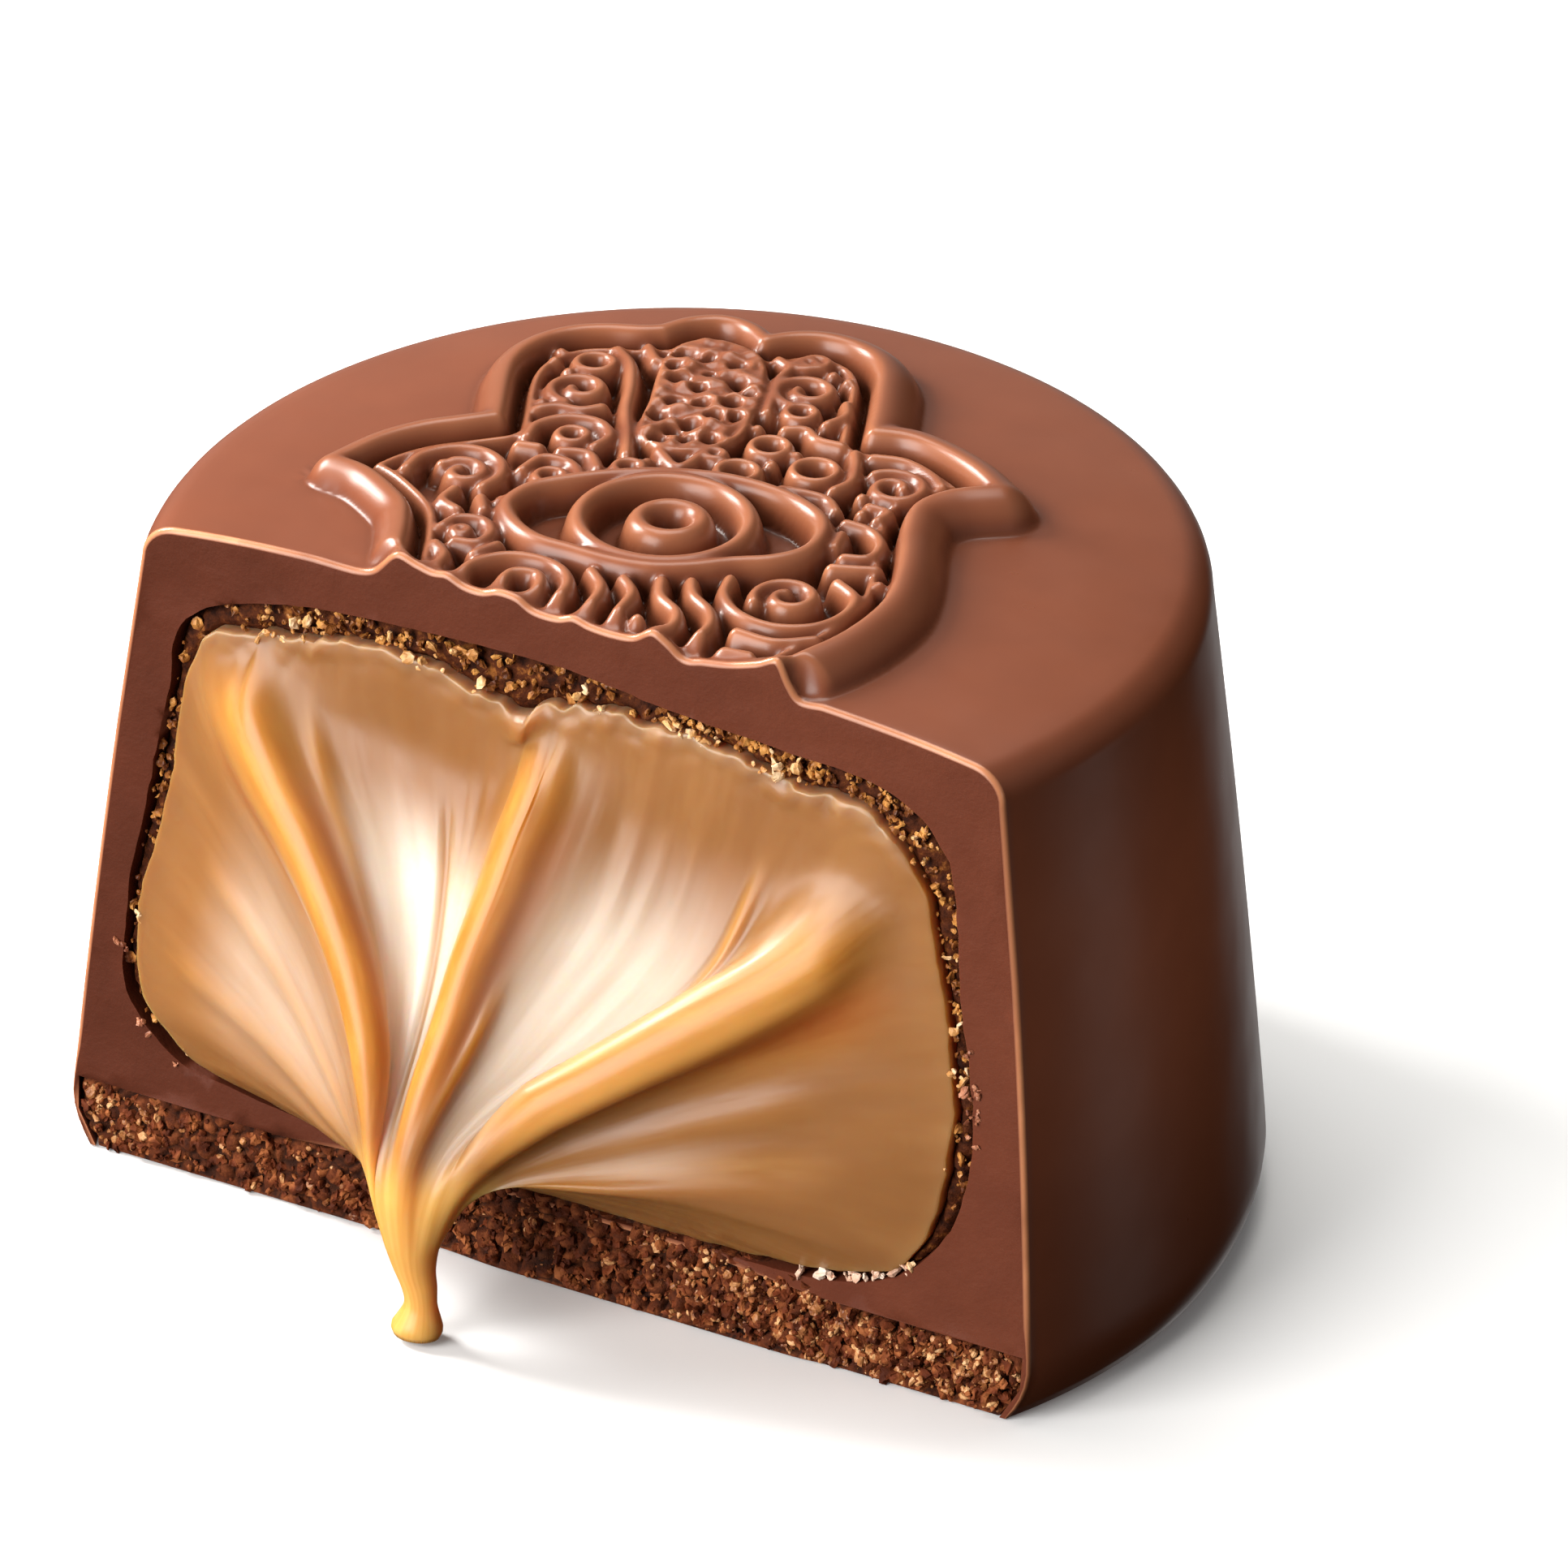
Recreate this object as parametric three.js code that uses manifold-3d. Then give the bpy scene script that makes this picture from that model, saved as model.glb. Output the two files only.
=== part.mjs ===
// A round moulded chocolate truffle, cut open: milk-chocolate shell with a traditional
// open hand in relief on its top, a thin crumb lining, a soft caramel filling that has been drawn
// out of the cut into folds and one drip, and a base of pressed cocoa crumb.
//
// Millimetres. +Z is up, the cut face looks along -Y, and the origin is under the middle of the
// round top, on the surface that the truffle stands on.

import * as THREE from "three";
import { mergeVertices } from "three/addons/utils/BufferGeometryUtils.js";
import Module from "manifold-3d";

// ---------------------------------------------------------------- driving dimensions

const HEIGHT = 20; // top of the shell at its middle, without the relief
const FOOT_RADIUS = 15.35; // at the very bottom, along X
const WIDEST_RADIUS = 15.85;
const WIDEST_Z = 1.6;
const BARREL = 0.1; // how far the side bulges beyond a straight draft, half-way up
const SHOULDER_RADIUS = 14.15; // where the side turns into the shoulder
const SHOULDER_Z = 18.4;
const SHOULDER_ROUND = 1.05;
const DOME_DROP = 0.7; // how far the slightly domed top would fall at the shoulder's radius
const DEPTH_TO_WIDTH = 1.065; // the mould is a little deeper than it is wide
const FOOT_SHIFT = [-0.25, 0.95]; // the foot lies this far to the left of and behind the top

const CUT = 5.67; // the cut lies this far in front of the middle of the top
const GAP = 0.25; // kept between neighbouring pieces

const BASE_TOP = 2.0;
const BASE_MOUND = 0.3; // the crumb base rises by this under the filling
const BASE_SKIN = 0.25; // chocolate round the base
const CRUMB_RELIEF = 0.22; // depth of the crags on the broken crumb

const LINING = 0.35; // thickness of the crumb lining at the sides
const LINING_TOP = 0.6; // and under the roof of the shell

// The inside of the shell: radius along X at each height, from its floor up to its roof.
const CAVITY = [
  [0, 2.45],
  [10.4, 2.55],
  [12.45, 3.3],
  [13.55, 4.9],
  [14.1, 7.3],
  [13.95, 10.0],
  [13.5, 13.2],
  [13.0, 15.4],
  [12.3, 17.0],
  [10.9, 17.9],
  [8.4, 18.35],
  [0, 18.8],
];
const CAVITY_SHIFT = -0.2; // the hollow lies this far to the left in the shell

// The relief, in a frame that is turned with the hand and centred on its eye.
const HAND_CENTRE = [-0.27, -0.11];
const HAND_TURN = THREE.MathUtils.degToRad(22.5);
const RIM_HEIGHT = 0.86;
const EYE_HEIGHT = 0.74;
const SCROLL_HEIGHT = 0.6;
const RIM_WIDTH = 1.3;
const EYE_WIDTH = 0.8;
const SCROLL_WIDTH = 0.56;
const RELIEF_ROOT = 0.35; // how far a ridge reaches down into the shell

// The drip: height, radius and sideways place of its rings, from the neck down to its foot.
const NECK = new THREE.Vector3(-2.05, -CUT - 4.45, 4.5);
const DRIP = [
  [4.5, 1.3, -2.05],
  [3.6, 0.95, -2.0],
  [2.8, 0.74, -1.9],
  [2.1, 0.58, -1.8],
  [1.6, 0.5, -1.65],
  [1.1, 0.46, -1.58],
  [0.7, 0.6, -1.62],
  [0.35, 0.73, -1.68],
];
const DRIP_FOOT_Z = 0.06; // the drip ends just over the surface that the truffle stands on

const AROUND = 44; // points round each section of the hollow
const STEPS = 5; // sections from the cut to the back of the hollow
const FOLD_LINES = 60; // lines from the rim of the cut down to the drip, along the folds

// Folds of the filling: where each starts on the rim of the cut, as an angle seen from the front.
const MAIN_FOLDS = [
  { at: 144, half: 6, rise: 1.0 },
  { at: 90, half: 5, rise: 0.8 },
  { at: 20, half: 7.5, rise: 1.3 },
];
const FINE_FOLDS = [
  { at: 174, half: 5, rise: 0.3 },
  { at: 108, half: 4, rise: 0.2 },
  { at: 66, half: 4, rise: 0.25 },
  { at: 38, half: 4, rise: 0.35 },
  { at: 352, half: 6, rise: 0.3 },
  { at: 205, half: 6, rise: 0.25 },
];
const FILLING_CENTRE = new THREE.Vector3(-0.4, -CUT, 10.3);

const wasm = await Module();
wasm.setup();

// ---------------------------------------------------------------- general helpers

function finish(name, color, roughness) {
  return new THREE.MeshStandardMaterial({ name, color, roughness, metalness: 0 });
}

const MILK_CHOCOLATE = finish("milk_chocolate", 0x8f5340, 0.42);
const CARAMEL_CREAM = finish("caramel_cream", 0xd29a5c, 0.3);
const COCOA_CRUMB = finish("cocoa_crumb", 0x55301f, 0.85);
const TOFFEE_CRUMB = finish("toffee_crumb", 0x9c6433, 0.6);

// A closed three.js geometry as a solid that can be joined and cut.
function toSolid(geometry) {
  const bare = geometry.index ? geometry.toNonIndexed() : geometry.clone();
  bare.deleteAttribute("normal");
  bare.deleteAttribute("uv");
  const merged = mergeVertices(bare, 1e-4);
  const solid = new wasm.Manifold(
    new wasm.Mesh({
      numProp: 3,
      vertProperties: merged.getAttribute("position").array,
      triVerts: new Uint32Array(merged.index.array),
    }),
  );
  if (solid.volume() < 0) throw new Error("a solid is inside out");
  return solid;
}

function toGeometry(solid) {
  const mesh = solid.getMesh();
  const geometry = new THREE.BufferGeometry();
  geometry.setAttribute("position", new THREE.BufferAttribute(mesh.vertProperties, 3));
  geometry.setIndex(new THREE.BufferAttribute(mesh.triVerts, 1));
  geometry.computeVertexNormals();
  return geometry;
}

function nodeOf(name, solid, material) {
  const mesh = new THREE.Mesh(toGeometry(solid), material);
  mesh.name = name;
  return mesh;
}

// The same number from 0 to 1 for the same three inputs, with no pattern between neighbours.
function scatter(i, j, seed) {
  const wave = Math.sin(i * 127.1 + j * 311.7 + seed * 74.7) * 43758.5453;
  return wave - Math.floor(wave);
}

// A stack of rings as a closed body: each ring is a list of points, the ends are single points.
function ringBody(rings, firstTip, lastTip) {
  const count = rings[0].length;
  const points = [firstTip, ...rings.flat(), lastTip];
  const index = [];
  const at = (ring, k) => 1 + ring * count + (k % count);
  for (let k = 0; k < count; k++) index.push(0, at(0, k + 1), at(0, k));
  for (let r = 0; r + 1 < rings.length; r++)
    for (let k = 0; k < count; k++) {
      index.push(at(r, k), at(r, k + 1), at(r + 1, k + 1));
      index.push(at(r, k), at(r + 1, k + 1), at(r + 1, k));
    }
  const last = rings.length - 1;
  for (let k = 0; k < count; k++) index.push(points.length - 1, at(last, k), at(last, k + 1));
  const geometry = new THREE.BufferGeometry().setFromPoints(points);
  geometry.setIndex(index);
  return geometry;
}

// ---------------------------------------------------------------- the round body

// The middle of the round section at height z.
function centreAt(z) {
  const share = THREE.MathUtils.clamp(1 - z / HEIGHT, 0, 1) ** 1.5;
  return new THREE.Vector2(FOOT_SHIFT[0] * share, FOOT_SHIFT[1] * share);
}

// How far a point is from the middle of its section, as the radius along X of the round through it.
function planRadius(x, y, z) {
  const centre = centreAt(z);
  return Math.hypot(x - centre.x, (y - centre.y) / DEPTH_TO_WIDTH);
}

// Turns a profile of [radius, height] points into a body of the mould's leaning, slightly deep plan.
function turned(profile, segments) {
  const lathe = new THREE.LatheGeometry(
    profile.map(([r, z]) => new THREE.Vector2(r, z)),
    segments,
  );
  lathe.rotateX(Math.PI / 2);
  const place = lathe.getAttribute("position");
  for (let i = 0; i < place.count; i++) {
    const z = place.getZ(i);
    const centre = centreAt(z);
    place.setXYZ(i, place.getX(i) + centre.x, place.getY(i) * DEPTH_TO_WIDTH + centre.y, z);
  }
  return lathe;
}

// Height of the domed top over a point in plan.
function topHeight(x, y) {
  return HEIGHT - DOME_DROP * (planRadius(x, y, HEIGHT) / SHOULDER_RADIUS) ** 4;
}

function outerProfile() {
  const halfUp = (WIDEST_Z + SHOULDER_Z) / 2;
  const side = new THREE.SplineCurve([
    new THREE.Vector2(FOOT_RADIUS, 0),
    new THREE.Vector2(WIDEST_RADIUS, WIDEST_Z),
    new THREE.Vector2((WIDEST_RADIUS + SHOULDER_RADIUS) / 2 + BARREL, halfUp),
    new THREE.Vector2(SHOULDER_RADIUS, SHOULDER_Z),
  ]);
  const profile = [[0, 0], ...side.getPoints(9).map((p) => [p.x, p.y])];
  const shoulderSteps = 4;
  for (let k = 1; k <= shoulderSteps; k++) {
    const turn = ((k / shoulderSteps) * Math.PI * 80) / 180;
    profile.push([
      SHOULDER_RADIUS - SHOULDER_ROUND * (1 - Math.cos(turn)),
      SHOULDER_Z + SHOULDER_ROUND * Math.sin(turn),
    ]);
  }
  const domeSteps = 5;
  for (let k = 1; k <= domeSteps; k++) {
    const radius = (SHOULDER_RADIUS - SHOULDER_ROUND) * (1 - k / domeSteps);
    profile.push([radius, topHeight(radius, 0)]);
  }
  return profile;
}

// Everything in front of the cut, optionally with a broken, craggy face.
function frontOf(y, crag = 0, seed = 1) {
  const wide = 40;
  const high = 26;
  const deep = 20;
  const across = crag ? 44 : 1;
  const up = crag ? 26 : 1;
  const box = new THREE.BoxGeometry(wide, deep, high, across, 1, up);
  const place = box.getAttribute("position");
  for (let i = 0; i < place.count; i++) {
    const face = place.getY(i) > 0 ? 1 : 0;
    const column = Math.round(place.getX(i) * 10);
    const row = Math.round(place.getZ(i) * 10);
    place.setY(i, place.getY(i) + face * crag * (scatter(column, row, seed) - 0.5) * 2);
  }
  box.translate(0, y - deep / 2, high / 2 - 3);
  return toSolid(box);
}

// ---------------------------------------------------------------- the hollow and what fills it

const cavityCurve = new THREE.SplineCurve(CAVITY.map(([r, z]) => new THREE.Vector2(r, z))).getPoints(80);

// Whether a point lies inside the hollow, drawn in by inset at the sides and insetTop at the roof.
function inHollow(point, inset, insetTop) {
  const radius = planRadius(point.x - CAVITY_SHIFT, point.y, point.z) + inset;
  const middle = FILLING_CENTRE.z;
  const end = point.z > middle ? cavityCurve.at(-1).y : cavityCurve[0].y;
  const drawnIn = point.z > middle ? end - insetTop : end + inset;
  const z = middle + ((point.z - middle) * (end - middle)) / (drawnIn - middle);
  let inside = false;
  for (let k = 0; k + 1 < cavityCurve.length; k++) {
    const a = cavityCurve[k];
    const b = cavityCurve[k + 1];
    if (a.y > z !== b.y > z) {
      const crossing = a.x + ((z - a.y) / (b.y - a.y)) * (b.x - a.x);
      if (radius < crossing) inside = !inside;
    }
  }
  return inside;
}

// The point of the hollow's wall in one direction: round turns about the view from the front, and
// back goes from 0 on the cut to 90 degrees at the very back.
function hollowPoint(round, back, inset, insetTop) {
  const direction = new THREE.Vector3(
    Math.cos(back) * Math.cos(round),
    Math.sin(back),
    Math.cos(back) * Math.sin(round),
  );
  let near = 0;
  let far = 40;
  for (let k = 0; k < 40; k++) {
    const middle = (near + far) / 2;
    const probe = FILLING_CENTRE.clone().addScaledVector(direction, middle);
    if (inHollow(probe, inset, insetTop)) near = middle;
    else far = middle;
  }
  return FILLING_CENTRE.clone().addScaledVector(direction, near);
}

// The hollow as a body that starts at the cut, or reaches lead in front of it.
function hollowBody(inset, insetTop, lead, around, steps) {
  const rings = [];
  for (let s = 1; s <= steps; s++) {
    const back = (Math.PI / 2) * (1 - s / steps);
    const angles = Array.from({ length: around }, (_, k) => (k / around) * 2 * Math.PI);
    rings.push(angles.map((a) => hollowPoint(a, back, inset, insetTop)));
  }
  rings.push(rings.at(-1).map((p) => p.clone().setY(-CUT - lead)));
  const tip = hollowPoint(0, Math.PI / 2, inset, insetTop);
  return toSolid(ringBody(rings, tip, FILLING_CENTRE.clone().setY(-CUT - lead)));
}

// How strongly the folds lift the filling at an angle round the rim of the cut.
function foldAt(folds, round) {
  return folds.reduce((sum, fold) => {
    const away = THREE.MathUtils.euclideanModulo(round - fold.at + 180, 360) - 180;
    return sum + fold.rise * Math.exp(-((away / fold.half) ** 2));
  }, 0);
}

// One line of the filling's skin, from the rim of the cut out and down to the neck of the drip.
function drawnPoint(round, share) {
  const degrees = THREE.MathUtils.radToDeg(round);
  const rim = hollowPoint(round, 0, LINING + GAP * 2, LINING_TOP + GAP * 2);
  const neckRadius = DRIP[0][1];
  const end = NECK.clone().add(
    new THREE.Vector3(neckRadius * Math.cos(round), -neckRadius * 0.8 * Math.sin(round), 0),
  );
  const main = foldAt(MAIN_FOLDS, degrees);
  const fromAbove = Math.max(0, Math.sin(round));
  const leave = rim.clone().lerp(end, 0.34);
  leave.y = -CUT - 0.1 - 1.1 * main - 0.9 * Math.max(0, -Math.sin(round));
  const arrive = end.clone().add(new THREE.Vector3(0, 0.75 - 0.7 * main, 0.9 + 2.2 * fromAbove));
  const line = new THREE.CubicBezierCurve3(rim, leave, arrive, end);
  const point = line.getPoint(share);
  const swell = Math.sin(Math.PI * Math.min(1, share * 1.15)) ** 1.2;
  point.y -= swell * (0.45 * main + foldAt(FINE_FOLDS, degrees));
  return point;
}

function fillingBody() {
  const angles = Array.from({ length: FOLD_LINES }, (_, k) => (k / FOLD_LINES) * 2 * Math.PI);
  const inset = LINING + GAP * 2;
  const insetTop = LINING_TOP + GAP * 2;
  const rings = [];
  for (let s = 1; s < STEPS; s++) {
    const back = (Math.PI / 2) * (1 - s / STEPS);
    rings.push(angles.map((a) => hollowPoint(a, back, inset, insetTop)));
  }
  const drawnSteps = 15;
  for (let s = 0; s < drawnSteps; s++) rings.push(angles.map((a) => drawnPoint(a, s / drawnSteps)));
  let [, radius, x] = DRIP[0];
  const dripRing = (z) =>
    angles.map((a) => new THREE.Vector3(x + radius * Math.cos(a), NECK.y - radius * 0.85 * Math.sin(a), z));
  for (const row of DRIP) {
    [, radius, x] = row;
    rings.push(dripRing(row[0]));
  }
  radius *= 0.7;
  rings.push(dripRing(DRIP_FOOT_Z));
  const tip = hollowPoint(0, Math.PI / 2, inset, insetTop);
  return toSolid(ringBody(rings, tip, new THREE.Vector3(x, NECK.y, DRIP_FOOT_Z)));
}

// ---------------------------------------------------------------- the relief on the top

// Half of the hand's outline, from the wrist round the thumb and up to the middle finger.
const HAND_HALF = [
  [0, -8.6],
  [4.4, -7.1],
  [5.75, -5.3],
  [6.55, -3.9],
  [6.85, -2.4],
  [6.85, -0.3],
  [7.3, 0.8],
  [8.0, 1.6],
  [9.1, 2.15],
  [8.8, 3.0],
  [8.05, 3.85],
  [6.8, 4.65],
  [5.15, 5.0],
  [5.2, 6.2],
  [5.22, 7.5],
  [5.05, 8.8],
  [4.6, 9.8],
  [3.8, 10.5],
  [2.8, 10.8],
  [1.45, 10.2],
  [1.0, 11.1],
  [0, 11.45],
];

// A point of the relief's frame, in the truffle's own frame, lifted over the domed top.
function onTop([x, y], lift) {
  const px = HAND_CENTRE[0] + x * Math.cos(HAND_TURN) - y * Math.sin(HAND_TURN);
  const py = HAND_CENTRE[1] + x * Math.sin(HAND_TURN) + y * Math.cos(HAND_TURN);
  return new THREE.Vector3(px, py, topHeight(px, py) + lift);
}

// A rounded ridge along a line of [x, y] points, closed into a loop or with two blunt ends.
function ridge(line, width, height, closed) {
  const count = line.length;
  const rings = line.map(([x, y], k) => {
    const before = line[closed ? (k + count - 1) % count : Math.max(0, k - 1)];
    const after = line[closed ? (k + 1) % count : Math.min(count - 1, k + 1)];
    const along = new THREE.Vector2(after[0] - before[0], after[1] - before[1]).normalize();
    const end = !closed && (k === 0 || k === count - 1);
    const side = (d) => [x - along.y * d, y + along.x * d];
    const half = (width / 2) * (end ? 0.7 : 1);
    return [
      onTop(side(half), -RELIEF_ROOT),
      onTop(side(half * 0.45), height),
      onTop(side(-half * 0.45), height),
      onTop(side(-half), -RELIEF_ROOT),
    ];
  });
  const points = rings.flat();
  const index = [];
  const sides = 4;
  const last = closed ? count : count - 1;
  for (let k = 0; k < last; k++)
    for (let s = 0; s < sides; s++) {
      const a = k * sides + s;
      const b = k * sides + ((s + 1) % sides);
      const c = ((k + 1) % count) * sides + s;
      const d = ((k + 1) % count) * sides + ((s + 1) % sides);
      index.push(a, b, c, b, d, c);
    }
  if (!closed) {
    index.push(0, 2, 1, 0, 3, 2);
    const e = (count - 1) * sides;
    index.push(e, e + 1, e + 2, e, e + 2, e + 3);
  }
  const geometry = new THREE.BufferGeometry().setFromPoints(points);
  geometry.setIndex(index);
  return toSolid(geometry);
}

// A smooth line through a few points, evenly sampled.
function smoothLine(points, step, closed = false) {
  const curve = new THREE.CatmullRomCurve3(
    points.map(([x, y]) => new THREE.Vector3(x, y, 0)),
    closed,
    "centripetal",
  );
  const pieces = Math.max(4, Math.round(curve.getLength() / step));
  const sampled = curve.getSpacedPoints(pieces).map((p) => [p.x, p.y]);
  return closed ? sampled.slice(0, -1) : sampled;
}

// A spiral that ends in the middle; from and turns are in degrees and whole turns.
function volute([cx, cy], outer, inner, from, turns, step = 45) {
  const count = Math.ceil((Math.abs(turns) * 360) / step);
  return Array.from({ length: count + 1 }, (_, k) => {
    const share = k / count;
    const angle = THREE.MathUtils.degToRad(from + turns * 360 * share);
    const radius = outer + (inner - outer) * share;
    return [cx + radius * Math.cos(angle), cy + radius * Math.sin(angle)];
  });
}

function ellipse([cx, cy], halfWidth, halfHeight, count) {
  return Array.from({ length: count }, (_, k) => {
    const angle = (k / count) * 2 * Math.PI;
    return [cx + halfWidth * Math.cos(angle), cy + halfHeight * Math.sin(angle)];
  });
}

const mirrored = (line) => line.map(([x, y]) => [-x, y]);

// The scrolls of one side of the hand; the other side is their mirror image.
function scrollsOfOneSide() {
  return [
    volute([5.65, 2.35], 1.35, 0.4, 205, -1.35), // in the thumb
    smoothLine([[4.15, 3.75], [4.35, 2.6], [4.3, 1.5], [4.75, 0.75], [5.5, 0.6]], 0.95), // below the thumb
    volute([5.1, -0.85], 0.95, 0.3, 60, 1.15), // beside the eye
    volute([3.55, -3.95], 1.7, 0.55, 130, -1.5), // in the heel of the hand
    smoothLine([[0.75, -2.9], [1.25, -3.9], [0.9, -5.0], [1.5, -6.1]], 0.95), // down to the wrist
    volute([3.2, 8.0], 1.0, 0.35, 250, -1.3), // in the outer finger
    volute([2.85, 5.1], 1.15, 0.35, 315, 1.3), // below it
    smoothLine([[4.05, 6.9], [3.6, 6.3], [3.75, 5.4], [4.2, 4.6], [3.9, 3.7]], 0.95), // along the finger
    volute([3.15, 2.75], 0.75, 0.3, 20, 1.1), // over the eye's corner
    smoothLine([[1.7, 9.6], [1.55, 8.2], [1.75, 6.4], [1.35, 4.6], [1.2, 3.2]], 1.1), // inner finger
  ];
}

function reliefBody() {
  const half = smoothHalf();
  const outline = [...half, ...mirrored(half).reverse().slice(1, -1)];
  const ridges = [ridge(outline, RIM_WIDTH, RIM_HEIGHT, true)];
  ridges.push(ridge(ellipse([0, 0], 4.05, 2.35, 24), EYE_WIDTH, EYE_HEIGHT * 0.85, true));
  ridges.push(ridge(ellipse([0, 0], 2.3, 2.1, 20), EYE_WIDTH, EYE_HEIGHT, true));
  ridges.push(ridge(ellipse([0, 0], 0.78, 0.78, 10), 0.85, EYE_HEIGHT, true));
  for (const line of scrollsOfOneSide()) {
    ridges.push(ridge(line, SCROLL_WIDTH, SCROLL_HEIGHT, false));
    ridges.push(ridge(mirrored(line).reverse(), SCROLL_WIDTH, SCROLL_HEIGHT, false));
  }
  return wasm.Manifold.union([...ridges, feather()]);
}

// The outline keeps its corners at the thumb's tip, the thumb's root and between the fingers.
function smoothHalf() {
  const corners = [0, 8, 12, 19, HAND_HALF.length - 1];
  const line = [];
  for (let c = 0; c + 1 < corners.length; c++) {
    const stretch = HAND_HALF.slice(corners[c], corners[c + 1] + 1);
    line.push(...smoothLine(stretch, 1.15).slice(c ? 1 : 0));
  }
  return line;
}

// The raised feather in the middle finger, pierced by staggered round pits.
function feather() {
  const side = [
    [0.85, 4.4],
    [1.1, 6.4],
    [1.05, 8.2],
  ];
  const outline = smoothLine([[0, 2.6], ...side, [0, 9.7], ...mirrored(side).reverse()], 0.9, true);
  const lift = SCROLL_HEIGHT * 0.9;
  const low = outline.map((p) => onTop(p, -RELIEF_ROOT));
  const high = outline.map((p) => onTop([p[0] * 0.86, (p[1] - 6) * 0.94 + 6], lift));
  let pad = toSolid(ringBody([low, high], onTop([0, 6], -RELIEF_ROOT), onTop([0, 6], lift)));
  for (let row = 0; row < 6; row++)
    for (let column = 0; column < (row % 2 ? 1 : 2); column++) {
      const x = row % 2 ? 0 : (column - 0.5) * (row < 1 ? 0.8 : 1.0);
      const pit = new THREE.CylinderGeometry(0.2, 0.13, 0.5, 6).rotateX(Math.PI / 2);
      const place = onTop([x, 4.3 + row * 0.9], lift);
      pad = pad.subtract(toSolid(pit.translate(place.x, place.y, place.z)));
    }
  return pad;
}

// ---------------------------------------------------------------- the pieces

function shell() {
  const body = toSolid(turned(outerProfile(), 56)).add(reliefBody());
  const hollow = hollowBody(0, 0, 4, AROUND, STEPS);
  const pocket = toSolid(turned(baseProfile(0, 2), 48));
  return body.subtract(frontOf(-CUT)).subtract(hollow).subtract(pocket);
}

// The crumb base: a disc with a low mound under the filling. The pocket that holds it is the same
// profile without the gap, carried on below the underside.
function baseProfile(gap, below) {
  const radius = WIDEST_RADIUS - BASE_SKIN - gap;
  return [
    [0, -below],
    [radius - (WIDEST_RADIUS - FOOT_RADIUS), -below],
    [radius, Math.max(0.6, -below)],
    [radius, BASE_TOP - gap],
    [10.2, BASE_TOP - gap],
    [7.6, BASE_TOP + BASE_MOUND - gap],
    [0, BASE_TOP + BASE_MOUND - gap],
  ];
}

function base() {
  return toSolid(turned(baseProfile(GAP, 0), 48)).subtract(frontOf(-CUT, CRUMB_RELIEF, 3));
}

function lining() {
  const outside = hollowBody(GAP, GAP, 1, AROUND, STEPS);
  const inside = hollowBody(GAP + LINING, GAP + LINING_TOP, 3, AROUND, STEPS);
  return outside.subtract(inside).subtract(frontOf(-CUT + 0.1, CRUMB_RELIEF, 7));
}

const truffle = new THREE.Group();
truffle.name = "cut_truffle";
truffle.add(nodeOf("shell", shell(), MILK_CHOCOLATE));
truffle.add(nodeOf("base", base(), COCOA_CRUMB));
truffle.add(nodeOf("lining", lining(), TOFFEE_CRUMB));
truffle.add(nodeOf("filling", fillingBody(), CARAMEL_CREAM));

export default truffle;
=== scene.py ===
"""A round moulded chocolate truffle, cut open: the shell with an open hand in relief on its top, a
crumb lining, a soft caramel filling drawn into folds and one drip, and a pressed crumb base.

Lengths are millimetres until a mesh is made. +Z is up, and the cut face looks along -Y.
"""
import math

import bmesh
import bpy
import numpy as np
from mathutils import Matrix, Vector, geometry, noise


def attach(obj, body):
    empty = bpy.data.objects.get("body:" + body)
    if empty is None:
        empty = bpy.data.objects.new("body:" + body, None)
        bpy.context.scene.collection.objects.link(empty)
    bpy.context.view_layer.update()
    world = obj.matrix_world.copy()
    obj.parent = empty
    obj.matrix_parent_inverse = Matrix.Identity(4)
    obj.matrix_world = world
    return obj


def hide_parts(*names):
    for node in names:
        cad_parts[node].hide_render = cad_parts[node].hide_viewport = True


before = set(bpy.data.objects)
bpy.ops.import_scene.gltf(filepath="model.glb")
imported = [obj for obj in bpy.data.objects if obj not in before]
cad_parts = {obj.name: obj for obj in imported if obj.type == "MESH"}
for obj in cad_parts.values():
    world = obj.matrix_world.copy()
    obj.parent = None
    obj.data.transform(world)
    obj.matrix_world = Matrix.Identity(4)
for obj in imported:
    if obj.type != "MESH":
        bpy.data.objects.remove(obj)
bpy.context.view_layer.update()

MM = 0.001  # a millimetre, in metres

# ------------------------------------------------------------------ driving dimensions

HEIGHT = 20.0  # top of the shell at its middle, without the relief
FOOT_RADIUS = 15.35
WIDEST_RADIUS = 15.85
WIDEST_Z = 1.6
BARREL = 0.1  # how far the side bulges beyond a straight draft, half-way up
SHOULDER_RADIUS = 14.15
SHOULDER_Z = 18.4
SHOULDER_ROUND = 1.05
SHOULDER_TURN = math.radians(80)  # the shoulder's arc ends this far round, where the dome takes over
DOME_DROP = 0.7
DEPTH_TO_WIDTH = 1.065
FOOT_SHIFT = (-0.25, 0.95)  # the middle of the foot, in plan, from the middle of the top

CUT = 5.67  # the cut lies this far in front of the middle of the top
EDGE_ROUND = 0.16  # radius of the softened edge round the cut
BASE_TOP = 2.0  # height of the crumb base at its rim
BASE_MOUND = 0.3  # and how much higher it is in its middle
BASE_SKIN = 0.15  # the chocolate beside it is this thin
BASE_FOOT = 1.0  # the base widens over this height above its foot
BASE_GAP = 0.06  # and it stays this far clear of the chocolate

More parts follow.
